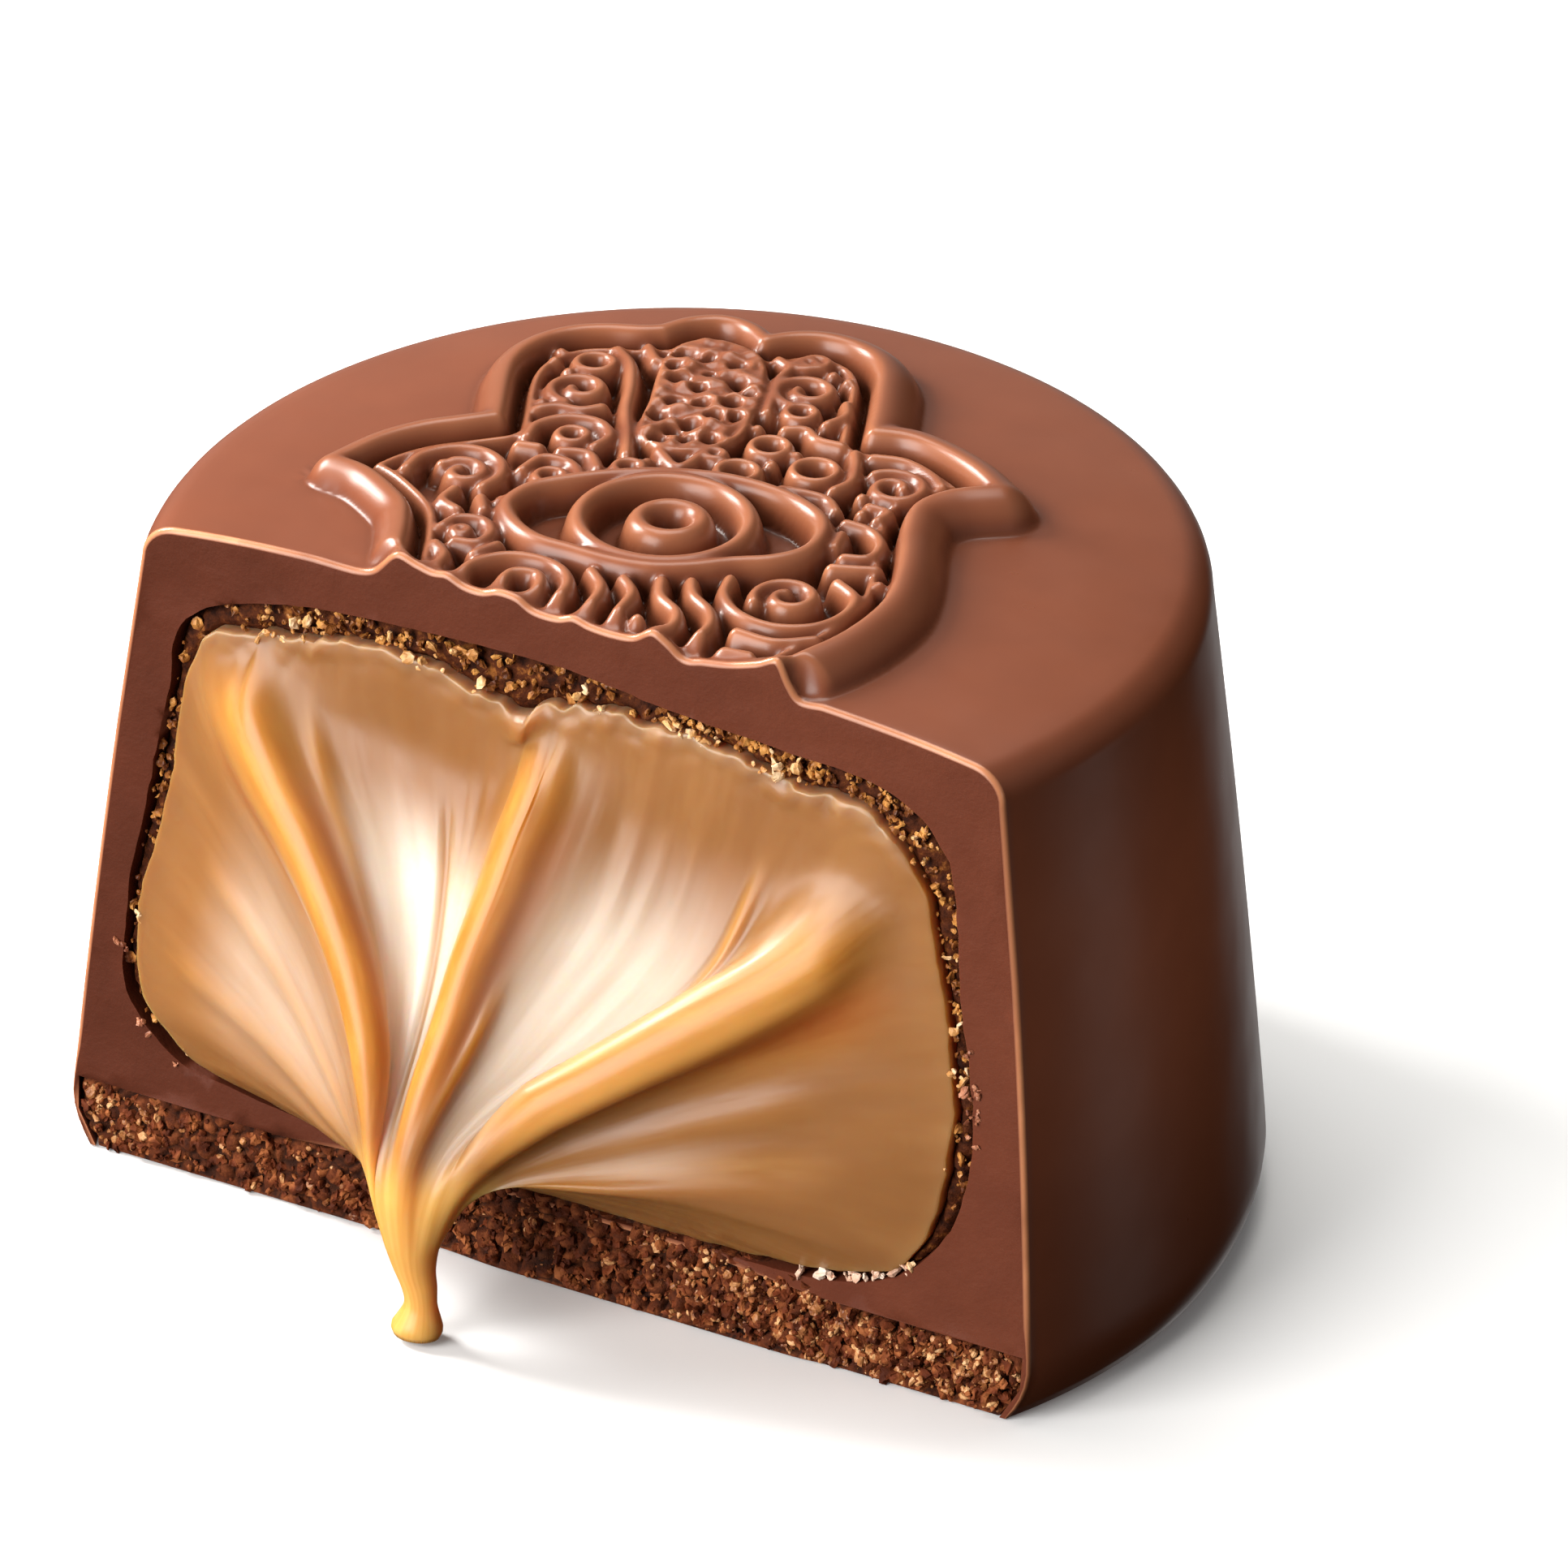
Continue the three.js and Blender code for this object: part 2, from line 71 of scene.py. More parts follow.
# The mouth of the hollow, as seen on the cut: x and z, from the left foot up and round.
CAVITY_EDGE = [
    (-5.9, 2.45), (-8.3, 2.75), (-9.9, 3.0), (-11.5, 3.3), (-12.6, 4.1), (-13.35, 5.3), (-13.35, 7.0),
    (-13.25, 8.6), (-12.9, 10.4), (-12.55, 12.6), (-12.15, 14.9), (-12.0, 16.4), (-11.3, 17.25),
    (-10.3, 17.75), (-8.0, 18.3), (-4.5, 18.6), (0.0, 18.72), (3.0, 18.4), (6.5, 18.2), (9.3, 18.0),
    (10.7, 17.35), (11.55, 16.3), (11.85, 14.7), (12.05, 12.3), (12.4, 10.0), (12.55, 8.4),
    (12.4, 6.6), (11.95, 5.2), (10.9, 3.75), (9.6, 2.95), (7.9, 2.55), (4.0, 2.45), (-1.5, 2.45),
]
HOLLOW_CENTRE = (-0.4, 10.3)  # x and z of the middle of the hollow
HOLLOW_MIDDLE = np.array([HOLLOW_CENTRE[0], 0, HOLLOW_CENTRE[1]])
HOLLOW_DEPTH = 19.2  # from the cut to the back of the hollow
FILLING_DEPTH = 18.4  # and to the back of the filling

# ------------------------------------------------------------------ meshes


def smooth_line(points, step, closed=False):
    """A smooth line through the points, sampled about every step."""
    p = np.array(points, float)
    if closed:
        p = np.vstack([p[-1:], p, p[:2]])
    else:
        p = np.vstack([2 * p[0] - p[1], p, 2 * p[-1] - p[-2]])
    made = []
    for a, b, c, d in zip(p[:-3], p[1:-2], p[2:-1], p[3:]):
        spans = [max(1e-6, np.linalg.norm(v - u)) ** 0.5 for u, v in ((a, b), (b, c), (c, d))]
        k0, k1, k2, k3 = np.cumsum([0.0] + spans)
        count = max(1, math.ceil(np.linalg.norm(c - b) / step))
        t = (k1 + (k2 - k1) * np.arange(count) / count)[:, None]
        ab = (k1 - t) / (k1 - k0) * a + (t - k0) / (k1 - k0) * b
        bc = (k2 - t) / (k2 - k1) * b + (t - k1) / (k2 - k1) * c
        cd = (k3 - t) / (k3 - k2) * c + (t - k2) / (k3 - k2) * d
        abc = (k2 - t) / (k2 - k0) * ab + (t - k0) / (k2 - k0) * bc
        bcd = (k3 - t) / (k3 - k1) * bc + (t - k1) / (k3 - k1) * cd
        made.append((k2 - t) / (k2 - k1) * abc + (t - k1) / (k2 - k1) * bcd)
    if not closed:
        made.append(p[-2:-1])
    return np.vstack(made)


def resample(line, shares):
    """Points of an open line at shares of its length, from 0 to 1."""
    lengths = np.linalg.norm(np.diff(line, axis=0), axis=1)
    along = np.concatenate([[0], np.cumsum(lengths)])
    along /= along[-1]
    return np.column_stack([np.interp(shares, along, line[:, i]) for i in range(line.shape[1])])


def ramp(value, low, high):
    """0 below low, 1 above high, with a soft start and end."""
    share = np.clip((value - low) / (high - low), 0, 1)
    return share * share * (3 - 2 * share)


def speckle(points, size, seed=0.0):
    """Smooth noise from about -1 to 1 at each point, with lumps of about that size."""
    return np.array([noise.noise(Vector((p[0] / size + seed, p[1] / size, p[2] / size))) for p in points])


def lumps(points, size, seed=0.0):
    """Distance to the nearest of many scattered centres, and to the second nearest, over size."""
    found = [noise.voronoi(Vector((p[0] / size + seed, p[1] / size, p[2] / size)))[0] for p in points]
    return np.array([(d[0], d[1]) for d in found])


def weld(mesh, gap, sliver=None):
    """Joins points closer than gap, clears faces thinner than sliver and turns all faces outwards."""
    work = bmesh.new()
    work.from_mesh(mesh)
    bmesh.ops.remove_doubles(work, verts=work.verts, dist=gap)
    if sliver is not None:
        bmesh.ops.dissolve_degenerate(work, edges=work.edges, dist=sliver)
    bmesh.ops.recalc_face_normals(work, faces=work.faces)
    work.to_mesh(mesh)
    work.free()


def in_loop(points, loop):
    """Which points of a plane lie inside a closed loop."""
    x, y = points[:, 0], points[:, 1]
    crossed = np.zeros(len(points), bool)
    for (ax, ay), (bx, by) in zip(loop, np.roll(loop, -1, axis=0)):
        if ay == by:
            continue
        crossed ^= ((ay > y) != (by > y)) & (x < ax + (y - ay) / (by - ay) * (bx - ax))
    return crossed


class Skin:
    """Stretches of surface gathered into one mesh. Each has a finish, by its number, and at each point
    how much painted highlight it has on an edge or crest and how much painted shade in a groove or crack."""

    def __init__(self):
        self.points, self.faces, self.finishes, self.edge, self.painted_shade = [], [], [], [], []
        self.count = 0

    def add(self, points, faces, finish=0, edge=0.0, painted_shade=0.0):
        """Points and the faces between them, whose numbers count from the first of these points."""
        self.points.append(np.asarray(points, float).reshape(-1, 3))
        self.faces += [tuple(int(i) + self.count for i in face) for face in faces]
        self.finishes += [finish] * len(faces)
        size = (len(self.points[-1]),)
        self.edge.append(np.broadcast_to(np.asarray(edge, float).ravel(), size))
        self.painted_shade.append(np.broadcast_to(np.asarray(painted_shade, float).ravel(), size))
        self.count += len(self.points[-1])

    def sheet(self, grid, finish=0, wrap=False, edge=0.0, painted_shade=0.0):
        """A grid of points as quads; wrap joins its last column to its first."""
        rows, columns = grid.shape[:2]
        index = np.arange(rows * columns).reshape(rows, columns)
        if wrap:
            index = np.hstack([index, index[:, :1]])
        quads = np.stack([index[:-1, :-1], index[:-1, 1:], index[1:, 1:], index[1:, :-1]], axis=-1)
        self.add(grid.reshape(-1, 3), quads.reshape(-1, 4).tolist(), finish, edge, painted_shade)

    def fan(self, tip, ring, finish=0, wrap=False):
        """Triangles from a tip to a ring or to an open row."""
        count = len(ring)
        last = count if wrap else count - 1
        faces = [(0, 1 + k, 1 + (k + 1) % count) for k in range(last)]
        self.add(np.vstack([[tip], ring]), faces, finish)

    def build(self, name, materials, joined=True, sharp=80):
        """The mesh as a piece; its edges are sharp past that many degrees."""
        mesh = bpy.data.meshes.new(name)
        mesh.from_pydata((np.vstack(self.points) * MM).tolist(), [], self.faces)
        mesh.polygons.foreach_set("material_index", self.finishes)
        for attribute, values in (("edge", self.edge), ("painted_shade", self.painted_shade)):
            mesh.attributes.new(attribute, "FLOAT", "POINT").data.foreach_set("value", np.concatenate(values))
        if joined:
            weld(mesh, 0.002 * MM, 0.0005 * MM)
        for made in materials:
            mesh.materials.append(made)
        mesh.polygons.foreach_set("use_smooth", [True] * len(mesh.polygons))
        mesh.set_sharp_from_angle(angle=math.radians(sharp))
        piece = bpy.data.objects.new(name, mesh)
        bpy.context.scene.collection.objects.link(piece)
        return piece


def lay(piece, slot, *nodes):
    """Makes a finished piece part of the truffle, in place of the plain solids it stands for."""
    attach(piece, "root")
    if nodes:
        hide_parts(*nodes)


# ------------------------------------------------------------------ finishes


def add_node(tree, kind, inputs=None, **settings):
    """Adds a node; an input is another node's output or a plain value."""
    node = tree.nodes.new(kind)
    for key, value in settings.items():
        setattr(node, key, value)
    for key, value in (inputs or {}).items():
        if isinstance(value, bpy.types.NodeSocket):
            tree.links.new(value, node.inputs[key])
        else:
            node.inputs[key].default_value = value
    return node


class Finish:
    """A material whose nodes are added one by one."""

    def __init__(self, name, **sockets):
        self.material = bpy.data.materials.new(name)
        self.material.use_nodes = True
        self.tree = self.material.node_tree
        self.shader = self.tree.nodes["Principled BSDF"]
        self.place = self.add("ShaderNodeTexCoord").outputs["Object"]
        for socket, value in sockets.items():
            self.shader.inputs[socket.replace("_", " ")].default_value = value

    def add(self, kind, inputs=None, **settings):
        return add_node(self.tree, kind, inputs, **settings)

    def noise(self, size, detail, rough):
        """Noise with lumps of about that many millimetres."""
        inputs = {"Vector": self.place, "Scale": 1 / (size * MM), "Detail": detail, "Roughness": rough}
        return self.add("ShaderNodeTexNoise", inputs).outputs["Fac"]

    def shades(self, factor, *stops):
        """A colour ramp; each stop is a position and a colour given as it looks, 0 to 255."""
        node = self.add("ShaderNodeValToRGB", {"Fac": factor})
        ramp_of = node.color_ramp
        while len(ramp_of.elements) < len(stops):
            ramp_of.elements.new(0.5)
        for element, (position, colour) in zip(ramp_of.elements, stops):
            element.position = position
            element.color = seen_colour(colour)
        return node.outputs["Color"]

    def spread(self, factor, low, high, to_low, to_high):
        """The factor from low to high, as a value from to_low to to_high."""
        inputs = {"Value": factor, "From Min": low, "From Max": high, "To Min": to_low, "To Max": to_high}
        return self.add("ShaderNodeMapRange", inputs).outputs["Result"]

    def blend(self, factor, first, second):
        return self.add("ShaderNodeMix", {0: factor, 6: first, 7: second}, data_type="RGBA").outputs[2]

    def own(self, attribute):
        """A value that the mesh has at each of its points."""
        return self.add("ShaderNodeAttribute", attribute_name=attribute).outputs["Fac"]

    def bump(self, height, depth, before=None, strength=1.0):
        """Adds relief of about that depth in millimetres."""
        inputs = {"Height": height, "Distance": depth * MM, "Strength": strength}
        if before is not None:
            inputs["Normal"] = before
        return self.add("ShaderNodeBump", inputs).outputs["Normal"]

    def wire(self, socket, output):
        self.tree.links.new(output, self.shader.inputs[socket])


def seen_colour(colour):
    """A colour given as it looks, from 0 to 255, as the light it stands for."""
    parts = [c / 255 for c in colour]
    return (*[c / 12.92 if c <= 0.04045 else ((c + 0.055) / 1.055) ** 2.4 for c in parts], 1.0)


def milk_chocolate():
    """Moulded milk chocolate: smooth, softly shining, a little mottled, with painted highlights on its edges
    and crests and painted shade in its grooves.
    """
    look = Finish("moulded_milk_chocolate", Roughness=0.34, Specular_IOR_Level=0.42)
    look.shader.inputs["Subsurface Weight"].default_value = 0.06
    look.shader.inputs["Subsurface Scale"].default_value = 0.4 * MM
    look.shader.inputs["Subsurface Radius"].default_value = (1.0, 0.4, 0.25)
    mottle = look.noise(4.5, 3, 0.6)
    brown = look.shades(mottle, (0.1, (109, 58, 37)), (0.9, (124, 68, 44)))
    # Painted highlight: edges and crests are painted paler, as where they catch the light.
    highlighted = look.blend(look.own("edge"), brown, seen_colour((206, 138, 96)))
    # Painted shade: the bottoms of the grooves are painted dark, and shine less.
    painted_shade = look.own("painted_shade")
    look.wire("Base Color", look.blend(painted_shade, highlighted, seen_colour((52, 20, 7))))
    look.wire("Specular IOR Level", look.spread(painted_shade, 0.2, 0.9, 0.42, 0.1))
    look.wire("Roughness", look.spread(look.noise(1.6, 2, 0.5), 0.1, 0.9, 0.26, 0.34))
    look.wire("Normal", look.bump(look.noise(3.2, 1, 0.5), 0.05))
    return look.material


def cut_chocolate():
    """The same chocolate where a knife has gone through it: matt, finely grained, painted lighter towards the
    right as light falls across it, with a painted highlight along its seam with the base.
    """
    look = Finish("cut_milk_chocolate", Roughness=0.55, Specular_IOR_Level=0.09)
    look.shader.inputs["Subsurface Weight"].default_value = 0.08
    look.shader.inputs["Subsurface Scale"].default_value = 0.5 * MM
    look.shader.inputs["Subsurface Radius"].default_value = (1.0, 0.4, 0.25)
    mottle = look.noise(2.6, 4, 0.6)
    # Painted light: the cut face is painted darker at its left and lighter at its right, as light falls
    # across it.
    shaded_left = look.shades(mottle, (0.3, (78, 37, 23)), (0.72, (87, 42, 27)))
    lit_right = look.shades(mottle, (0.3, (94, 47, 31)), (0.72, (104, 54, 36)))
    across = look.add("ShaderNodeSeparateXYZ", {"Vector": look.place}).outputs["X"]
    brown = look.blend(look.spread(across, -13 * MM, 15 * MM, 0.0, 1.0), shaded_left, lit_right)
    # Painted highlight: a pale line where the cut meets the crumb base.
    highlighted = look.own("edge")
    look.wire("Base Color", look.blend(highlighted, brown, seen_colour((200, 132, 94))))
    look.wire("Roughness", look.spread(look.noise(0.9, 4, 0.6), 0.3, 0.7, 0.48, 0.64))
    grain = look.bump(look.noise(0.13, 3, 0.65), 0.02)
    look.wire("Normal", look.bump(look.noise(1.1, 2, 0.5), 0.05, grain))
    return look.material


def soft_caramel():
    """Glossy, slightly translucent caramel cream: golden in the cords, painted pale as highlights where it is
    drawn thin, with painted shade in its creases and painted light in its amber.
    """
    look = Finish("soft_caramel", Roughness=0.36, Specular_IOR_Level=0.38, Coat_Weight=0.06)
    look.shader.inputs["Coat Roughness"].default_value = 0.16
    look.shader.inputs["Subsurface Weight"].default_value = 0.75
    look.shader.inputs["Subsurface Scale"].default_value = 1.9 * MM
    look.shader.inputs["Subsurface Radius"].default_value = (1.0, 0.52, 0.24)
    drawn_along = look.add("ShaderNodeAttribute", attribute_name="drawn_along").outputs["Vector"]

    def streaks(size):
        inputs = {"Vector": drawn_along, "Scale": 1 / size, "Detail": 3.0, "Roughness": 0.55}
        return look.add("ShaderNodeTexNoise", inputs).outputs["Fac"]

    broad, fine = streaks(1.1), streaks(0.3)
    cream = look.shades(broad, (0.3, (142, 93, 46)), (0.55, (151, 101, 52)), (0.75, (162, 112, 62)))
    golden = look.shades(fine, (0.3, (172, 114, 40)), (0.7, (192, 136, 58)))
    amber = look.shades(broad, (0.3, (210, 152, 72)), (0.7, (222, 169, 92)))
    # Painted highlight: the pale colour of the drawn-thin panels stands in for the light they catch.
    thin = look.shades(broad, (0.3, (216, 198, 176)), (0.6, (234, 223, 208)))
    pale = look.blend(look.own("pale"), cream, thin)
    corded = look.blend(look.own("golden"), pale, golden)
    # Painted shade: the creases beside the cords are painted browner.
    corded = look.blend(look.own("crease_shade"), corded, seen_colour((158, 78, 24)))
    # Partly painted light: amber towards the drip, its own colour made lighter there, and on the lower side
    # of the right cord, as if lit through.
    amber_and_lit_through = look.own("amber")
    look.wire("Base Color", look.blend(amber_and_lit_through, corded, amber))
    look.wire("Roughness", look.spread(fine, 0.3, 0.7, 0.3, 0.44))
    look.wire("Normal", look.bump(broad, 0.04, strength=look.spread(amber_and_lit_through, 0.0, 0.5, 1.0, 0.0)))
    return look.material


def toffee_lining():
    """Rough toffee crumb, dark with golden brown bits, between shell and filling."""
    look = Finish("toffee_lining", Roughness=0.65, Specular_IOR_Level=0.1)
    patches = look.noise(0.45, 4, 0.65)
    look.wire(
        "Base Color",
        look.shades(patches, (0.36, (38, 14, 6)), (0.56, (84, 40, 18)), (0.72, (160, 98, 44))),
    )
    look.wire("Normal", look.bump(look.noise(0.12, 4, 0.7), 0.07))
    return look.material


def pressed_crumb():
    """Dark cocoa crumb, broken open at the cut, with painted shade in its cracks."""
    look = Finish("pressed_cocoa_crumb", Roughness=0.72, Specular_IOR_Level=0.15)
    patches = look.noise(0.5, 4, 0.65)
    crumb = look.shades(patches, (0.3, (58, 24, 10)), (0.5, (96, 45, 20)), (0.68, (142, 78, 42)))
    # Painted shade: the cracks are painted nearly black.
    look.wire("Base Color", look.blend(look.own("painted_shade"), crumb, seen_colour((22, 8, 4))))
    look.wire("Normal", look.bump(look.noise(0.1, 4, 0.7), 0.06))
    return look.material


def crumb_finish(name, dark, middle, pale, roughness, shine=0.4):
    """One kind of loose crumb, each grain with a shade of its own."""
    look = Finish(name, Roughness=roughness, Specular_IOR_Level=shine)
    shade = look.noise(0.55, 1, 0.5)
    look.wire("Base Color", look.shades(shade, (0.35, dark), (0.5, middle), (0.66, pale)))
    look.wire("Normal", look.bump(look.noise(0.08, 3, 0.6), 0.02))
    return look.material


# ------------------------------------------------------------------ the round body


def centre_at(z):
    """x and y of the middle of the round section at height z."""
    share = np.clip(1 - np.asarray(z, float) / HEIGHT, 0, 1) ** 1.5
    return FOOT_SHIFT[0] * share, FOOT_SHIFT[1] * share


def side_radius(z):
    """Radius of the side along X, below the shoulder."""
    up = np.clip((z - WIDEST_Z) / (SHOULDER_Z - WIDEST_Z), 0, 1)
    down = np.clip((WIDEST_Z - z) / WIDEST_Z, 0, 1)
    straight = WIDEST_RADIUS + (SHOULDER_RADIUS - WIDEST_RADIUS) * up
    return straight + BARREL * 4 * up * (1 - up) - (WIDEST_RADIUS - FOOT_RADIUS) * down**2


def top_height(x, y):
    """Height of the domed top over a point in plan."""
    return HEIGHT - DOME_DROP * (np.hypot(x, y / DEPTH_TO_WIDTH) / SHOULDER_RADIUS) ** 4


def round_row(radius, z, shares, front):
    """Points round the section at height z, from the left over the back to the right, where the
    section meets the plane y = front."""
    cx, cy = centre_at(z)
    dip = math.asin((front - cy) / (DEPTH_TO_WIDTH * radius))
    turn = (math.pi - dip) + shares * (2 * dip - math.pi)
    x = cx + radius * np.cos(turn)
    y = cy + DEPTH_TO_WIDTH * radius * np.sin(turn)
    return np.column_stack([x, y, np.full(len(shares), float(z))])


# ------------------------------------------------------------------ the relief

HAND_EYE = (-0.7, 0.15)  # the middle of the hand's eye, in plan
HAND_TURN = math.radians(22.5)
RELIEF_PLAN = ((-10.4, 9.4), (-CUT + EDGE_ROUND, 12.4))  # the stretch of the top that is closely meshed
RELIEF_LIMIT = 12.5  # and it ends this far from the middle, short of the shoulder
RELIEF_STEP = 0.07
LEAN = 0.013  # the relief stands this much higher for each mm towards the hand's right side
RIM_LIFT = 0.86
EYE_LIFT = 0.76
SCROLL_LIFT = 0.62
FLOOR = -0.24  # the ground between the scrolls
RIM_OUTER = (0.72, 1.05)  # the outline's outer slope, at the hand's left and right
RIM_INNER = 0.42  # and its steep inner one
INNER_LINE = (0.8, 0.24, 0.5)  # a thin line follows the outline inside: how far in, half width and lift
EYE_HALF = 0.44
PUPIL_HALF = 0.48
SCROLL_HALF = 0.34
RING_HALF = 0.29

LEVELLED = 22  # how often the relief is softened to find the level of the ground
CREST_HIGHLIGHT = 0.42  # how pale its highest crests are painted: a painted highlight

KNIFE_DRAG = (0.15, 0.8)  # the knife has smoothed the relief this near to the cut
# What it left standing over the dome on the cut itself: x and height.
CUT_CREST = [
    (-8.0, 0.0), (-6.5, -0.03), (-6.1, 0.1), (-5.4, 0.77), (-4.75, 0.62), (-4.3, 0.52), (-3.85, 0.56),
    (-3.3, 0.36), (-2.8, 0.34), (-2.3, 0.5), (-1.7, 0.46), (-1.2, 0.22), (-0.5, 0.2), (0.0, 0.36),
    (0.5, 0.25), (1.2, 0.22), (1.8, 0.3), (2.4, 0.64), (2.9, 0.42), (3.4, 0.1), (3.9, 0.2), (4.7, 0.36),
    (5.5, 0.63), (6.2, 0.93), (6.6, 0.3), (6.9, -0.05), (7.6, 0.0),
]

# The hand's outline, clockwise from the left of the wrist, in a frame centred on the eye.
HAND_OUTLINE = [
    [(-5.4, -5.9), (-6.5, -3.7), (-6.65, -1.6), (-6.8, -0.6), (-7.3, 0.3), (-8.0, 1.2), (-8.85, 1.8)],
    [(-8.85, 1.8), (-7.7, 3.15), (-6.7, 3.85), (-5.7, 4.25), (-4.85, 4.6)],
    [(-4.85, 4.6), (-4.85, 8.0), (-4.35, 9.2), (-3.5, 9.95), (-2.6, 10.2), (-1.6, 10.2), (-1.05, 10.3)],
    [(-1.05, 10.3), (-0.3, 10.95), (0.5, 11.15), (1.2, 10.8), (1.75, 10.0)],
    [(1.75, 10.0), (2.5, 10.4), (3.3, 10.5), (4.1, 10.2), (4.75, 9.6), (5.1, 8.7), (5.2, 7.5), (5.25, 5.1)],
    [(5.25, 5.1), (6.2, 5.0), (7.1, 4.5), (8.1, 3.6), (8.9, 2.5)],
    [(8.9, 2.5), (7.7, 2.0), (6.95, 1.2), (6.8, -0.2), (6.88, -1.5), (6.9, -2.6), (6.76, -4.0), (6.3, -5.25),
     (5.7, -6.3), (5.0, -7.15), (4.0, -8.1), (0.0, -9.4), (-4.2, -7.8), (-5.4, -5.9)],
]
ALMOND = [
    (-4.0, -0.1), (-3.5, 0.9), (-2.5, 1.5), (-1.3, 1.95), (0.0, 2.2), (1.5, 2.15), (2.7, 1.75), (3.7, 1.1),
    (4.4, 0.2), (4.5, -0.7), (4.15, -1.6), (3.4, -2.15), (2.3, -2.45), (1.2, -2.85), (0.2, -3.0),
    (-0.9, -2.8), (-2.0, -2.35), (-3.0, -1.9), (-3.7, -1.1),
]
IRIS = (0.25, -0.42, 2.3)  # x, y and radius
PUPIL = (0.4, -0.35, 0.85)

# Scrolls, as open paths.
SCROLLS = [
    # in the left thumb and below it
    [(-6.95, 1.8), (-6.6, 2.55), (-5.8, 3.05), (-5.0, 2.95), (-4.45, 2.35), (-4.4, 1.6), (-4.8, 0.95)],
    [(-5.5, 0.75), (-5.75, 0.1), (-5.3, -0.4)],
    [(-4.75, 0.35), (-4.6, -0.3)],
    [(-5.6, -1.35), (-5.2, -0.85), (-4.55, -0.9), (-4.25, -1.5), (-4.55, -2.15), (-5.15, -2.1)],
    [(-5.65, -2.3), (-5.35, -2.9), (-5.5, -3.6)],
    [(-4.55, -2.75), (-4.0, -2.2)],
    # over the eye's left half
    [(-3.85, 2.05), (-3.35, 2.8), (-2.65, 2.6), (-2.25, 1.9)],
    [(-4.1, 3.45), (-3.55, 3.35)],
    [(-2.95, 3.25), (-2.2, 3.15), (-1.85, 2.35)],
    # under the left finger
    [(-3.95, 3.95), (-3.75, 4.65), (-3.0, 5.15), (-2.1, 4.95), (-1.75, 4.2), (-2.1, 3.6)],
    [(-3.85, 5.55), (-3.35, 5.75), (-2.7, 5.6), (-2.15, 5.85)],
    # beside the feather
    [(-2.15, 9.35), (-1.75, 8.6), (-1.55, 7.3), (-1.5, 5.8), (-1.3, 4.4), (-1.2, 3.3)],
    [(-1.35, 9.6), (-1.05, 8.8)],
    [(-0.35, 3.6), (0.25, 2.75), (0.85, 3.6)],
    [(2.2, 9.35), (2.55, 8.9), (2.35, 8.2), (2.3, 7.2), (2.25, 6.2)],
    # the right finger and below it
    [(4.3, 7.0), (4.35, 6.3), (3.9, 5.75)],
    [(2.85, 5.3), (3.4, 5.35), (3.75, 4.85), (4.45, 4.6)],
    [(3.1, 1.95), (3.7, 1.85), (4.4, 1.55), (4.7, 0.95)],
    [(4.85, 4.25), (4.95, 3.4), (4.9, 2.6), (4.5, 2.1)],
    # the right thumb
    [(5.35, 4.1), (6.2, 4.0), (7.0, 3.35), (7.35, 2.75)],
    [(5.55, 1.35), (6.1, 1.05), (5.85, 0.6)],
    # right of the eye
    [(5.05, 0.35), (5.75, 0.0), (6.1, -0.75), (5.85, -1.5), (5.2, -1.55)],
    [(5.0, -0.3), (4.9, -1.0)],
    [(4.95, -2.15), (5.55, -2.15), (6.15, -2.1)],
    # below the eye
    [(-4.85, -4.1), (-4.55, -3.3), (-3.75, -2.75), (-2.85, -2.8), (-2.15, -3.3), (-1.9, -4.1), (-2.3, -5.4)],
    [(-3.75, -4.35), (-3.4, -3.6), (-2.75, -3.65), (-2.65, -4.4), (-3.0, -4.9)],
    [(-1.35, -3.25), (-1.0, -4.1), (-1.15, -5.0), (-1.5, -5.8)],
    [(-0.45, -3.55), (-0.15, -4.3), (-0.35, -5.2), (-0.6, -6.1)],
    [(0.55, -3.5), (0.65, -4.4), (1.15, -5.2), (1.1, -6.0), (0.45, -6.5)],
    [(1.35, -3.45), (1.5, -4.2), (2.0, -5.0), (2.1, -5.8), (1.75, -6.6)],
    [(2.35, -3.15), (2.3, -4.1), (2.8, -5.05), (3.8, -5.6), (4.9, -5.4), (5.6, -4.6), (5.75, -3.7),
     (5.2, -2.95)],
    [(2.85, -6.0), (3.9, -6.4), (5.0, -6.1)],
    [(2.6, -6.9), (3.3, -7.15)],
]
# Volutes: x and y of the middle, outer and inner radius, the angle where each starts and its turns.
VOLUTES = [
    (-5.4, 1.7, 0.7, 0.2, 120, -1.0),
    (6.1, 2.45, 0.95, 0.25, 130, -1.35),
    (4.0, -3.95, 0.95, 0.25, 200, -1.25),
    (-2.85, 6.85, 0.9, 0.25, 250, -1.2),
    (3.2, 7.55, 0.95, 0.3, 250, -1.25),
]
# Small rings: x, y and radius.
RINGS = [
    (-5.05, -1.55, 0.2), (-3.05, 1.75, 0.4), (-2.65, 8.45, 0.5), (-2.75, 4.15, 0.4), (-1.05, 2.55, 0.38),
    (1.85, 2.75, 0.55), (2.55, 4.25, 0.5), (3.9, 3.1, 0.6), (3.15, 6.3, 0.4), (2.95, 9.15, 0.3),
    (1.15, 3.6, 0.25), (3.2, 9.3, 0.35),
]
# Small knobs.
BEADS = [
    (-3.3, 7.9), (-3.75, 8.55), (-3.8, 6.0), (-6.0, 2.2), (-4.2, 0.35), (2.7, 3.35), (5.3, 1.9), (6.3, -2.85),
    (5.4, 1.0), (4.2, 8.4), (3.75, 8.75), (-0.6, 3.0), (0.15, -5.6), (3.3, 3.95), (-3.65, 9.1), (2.1, 5.3),
]
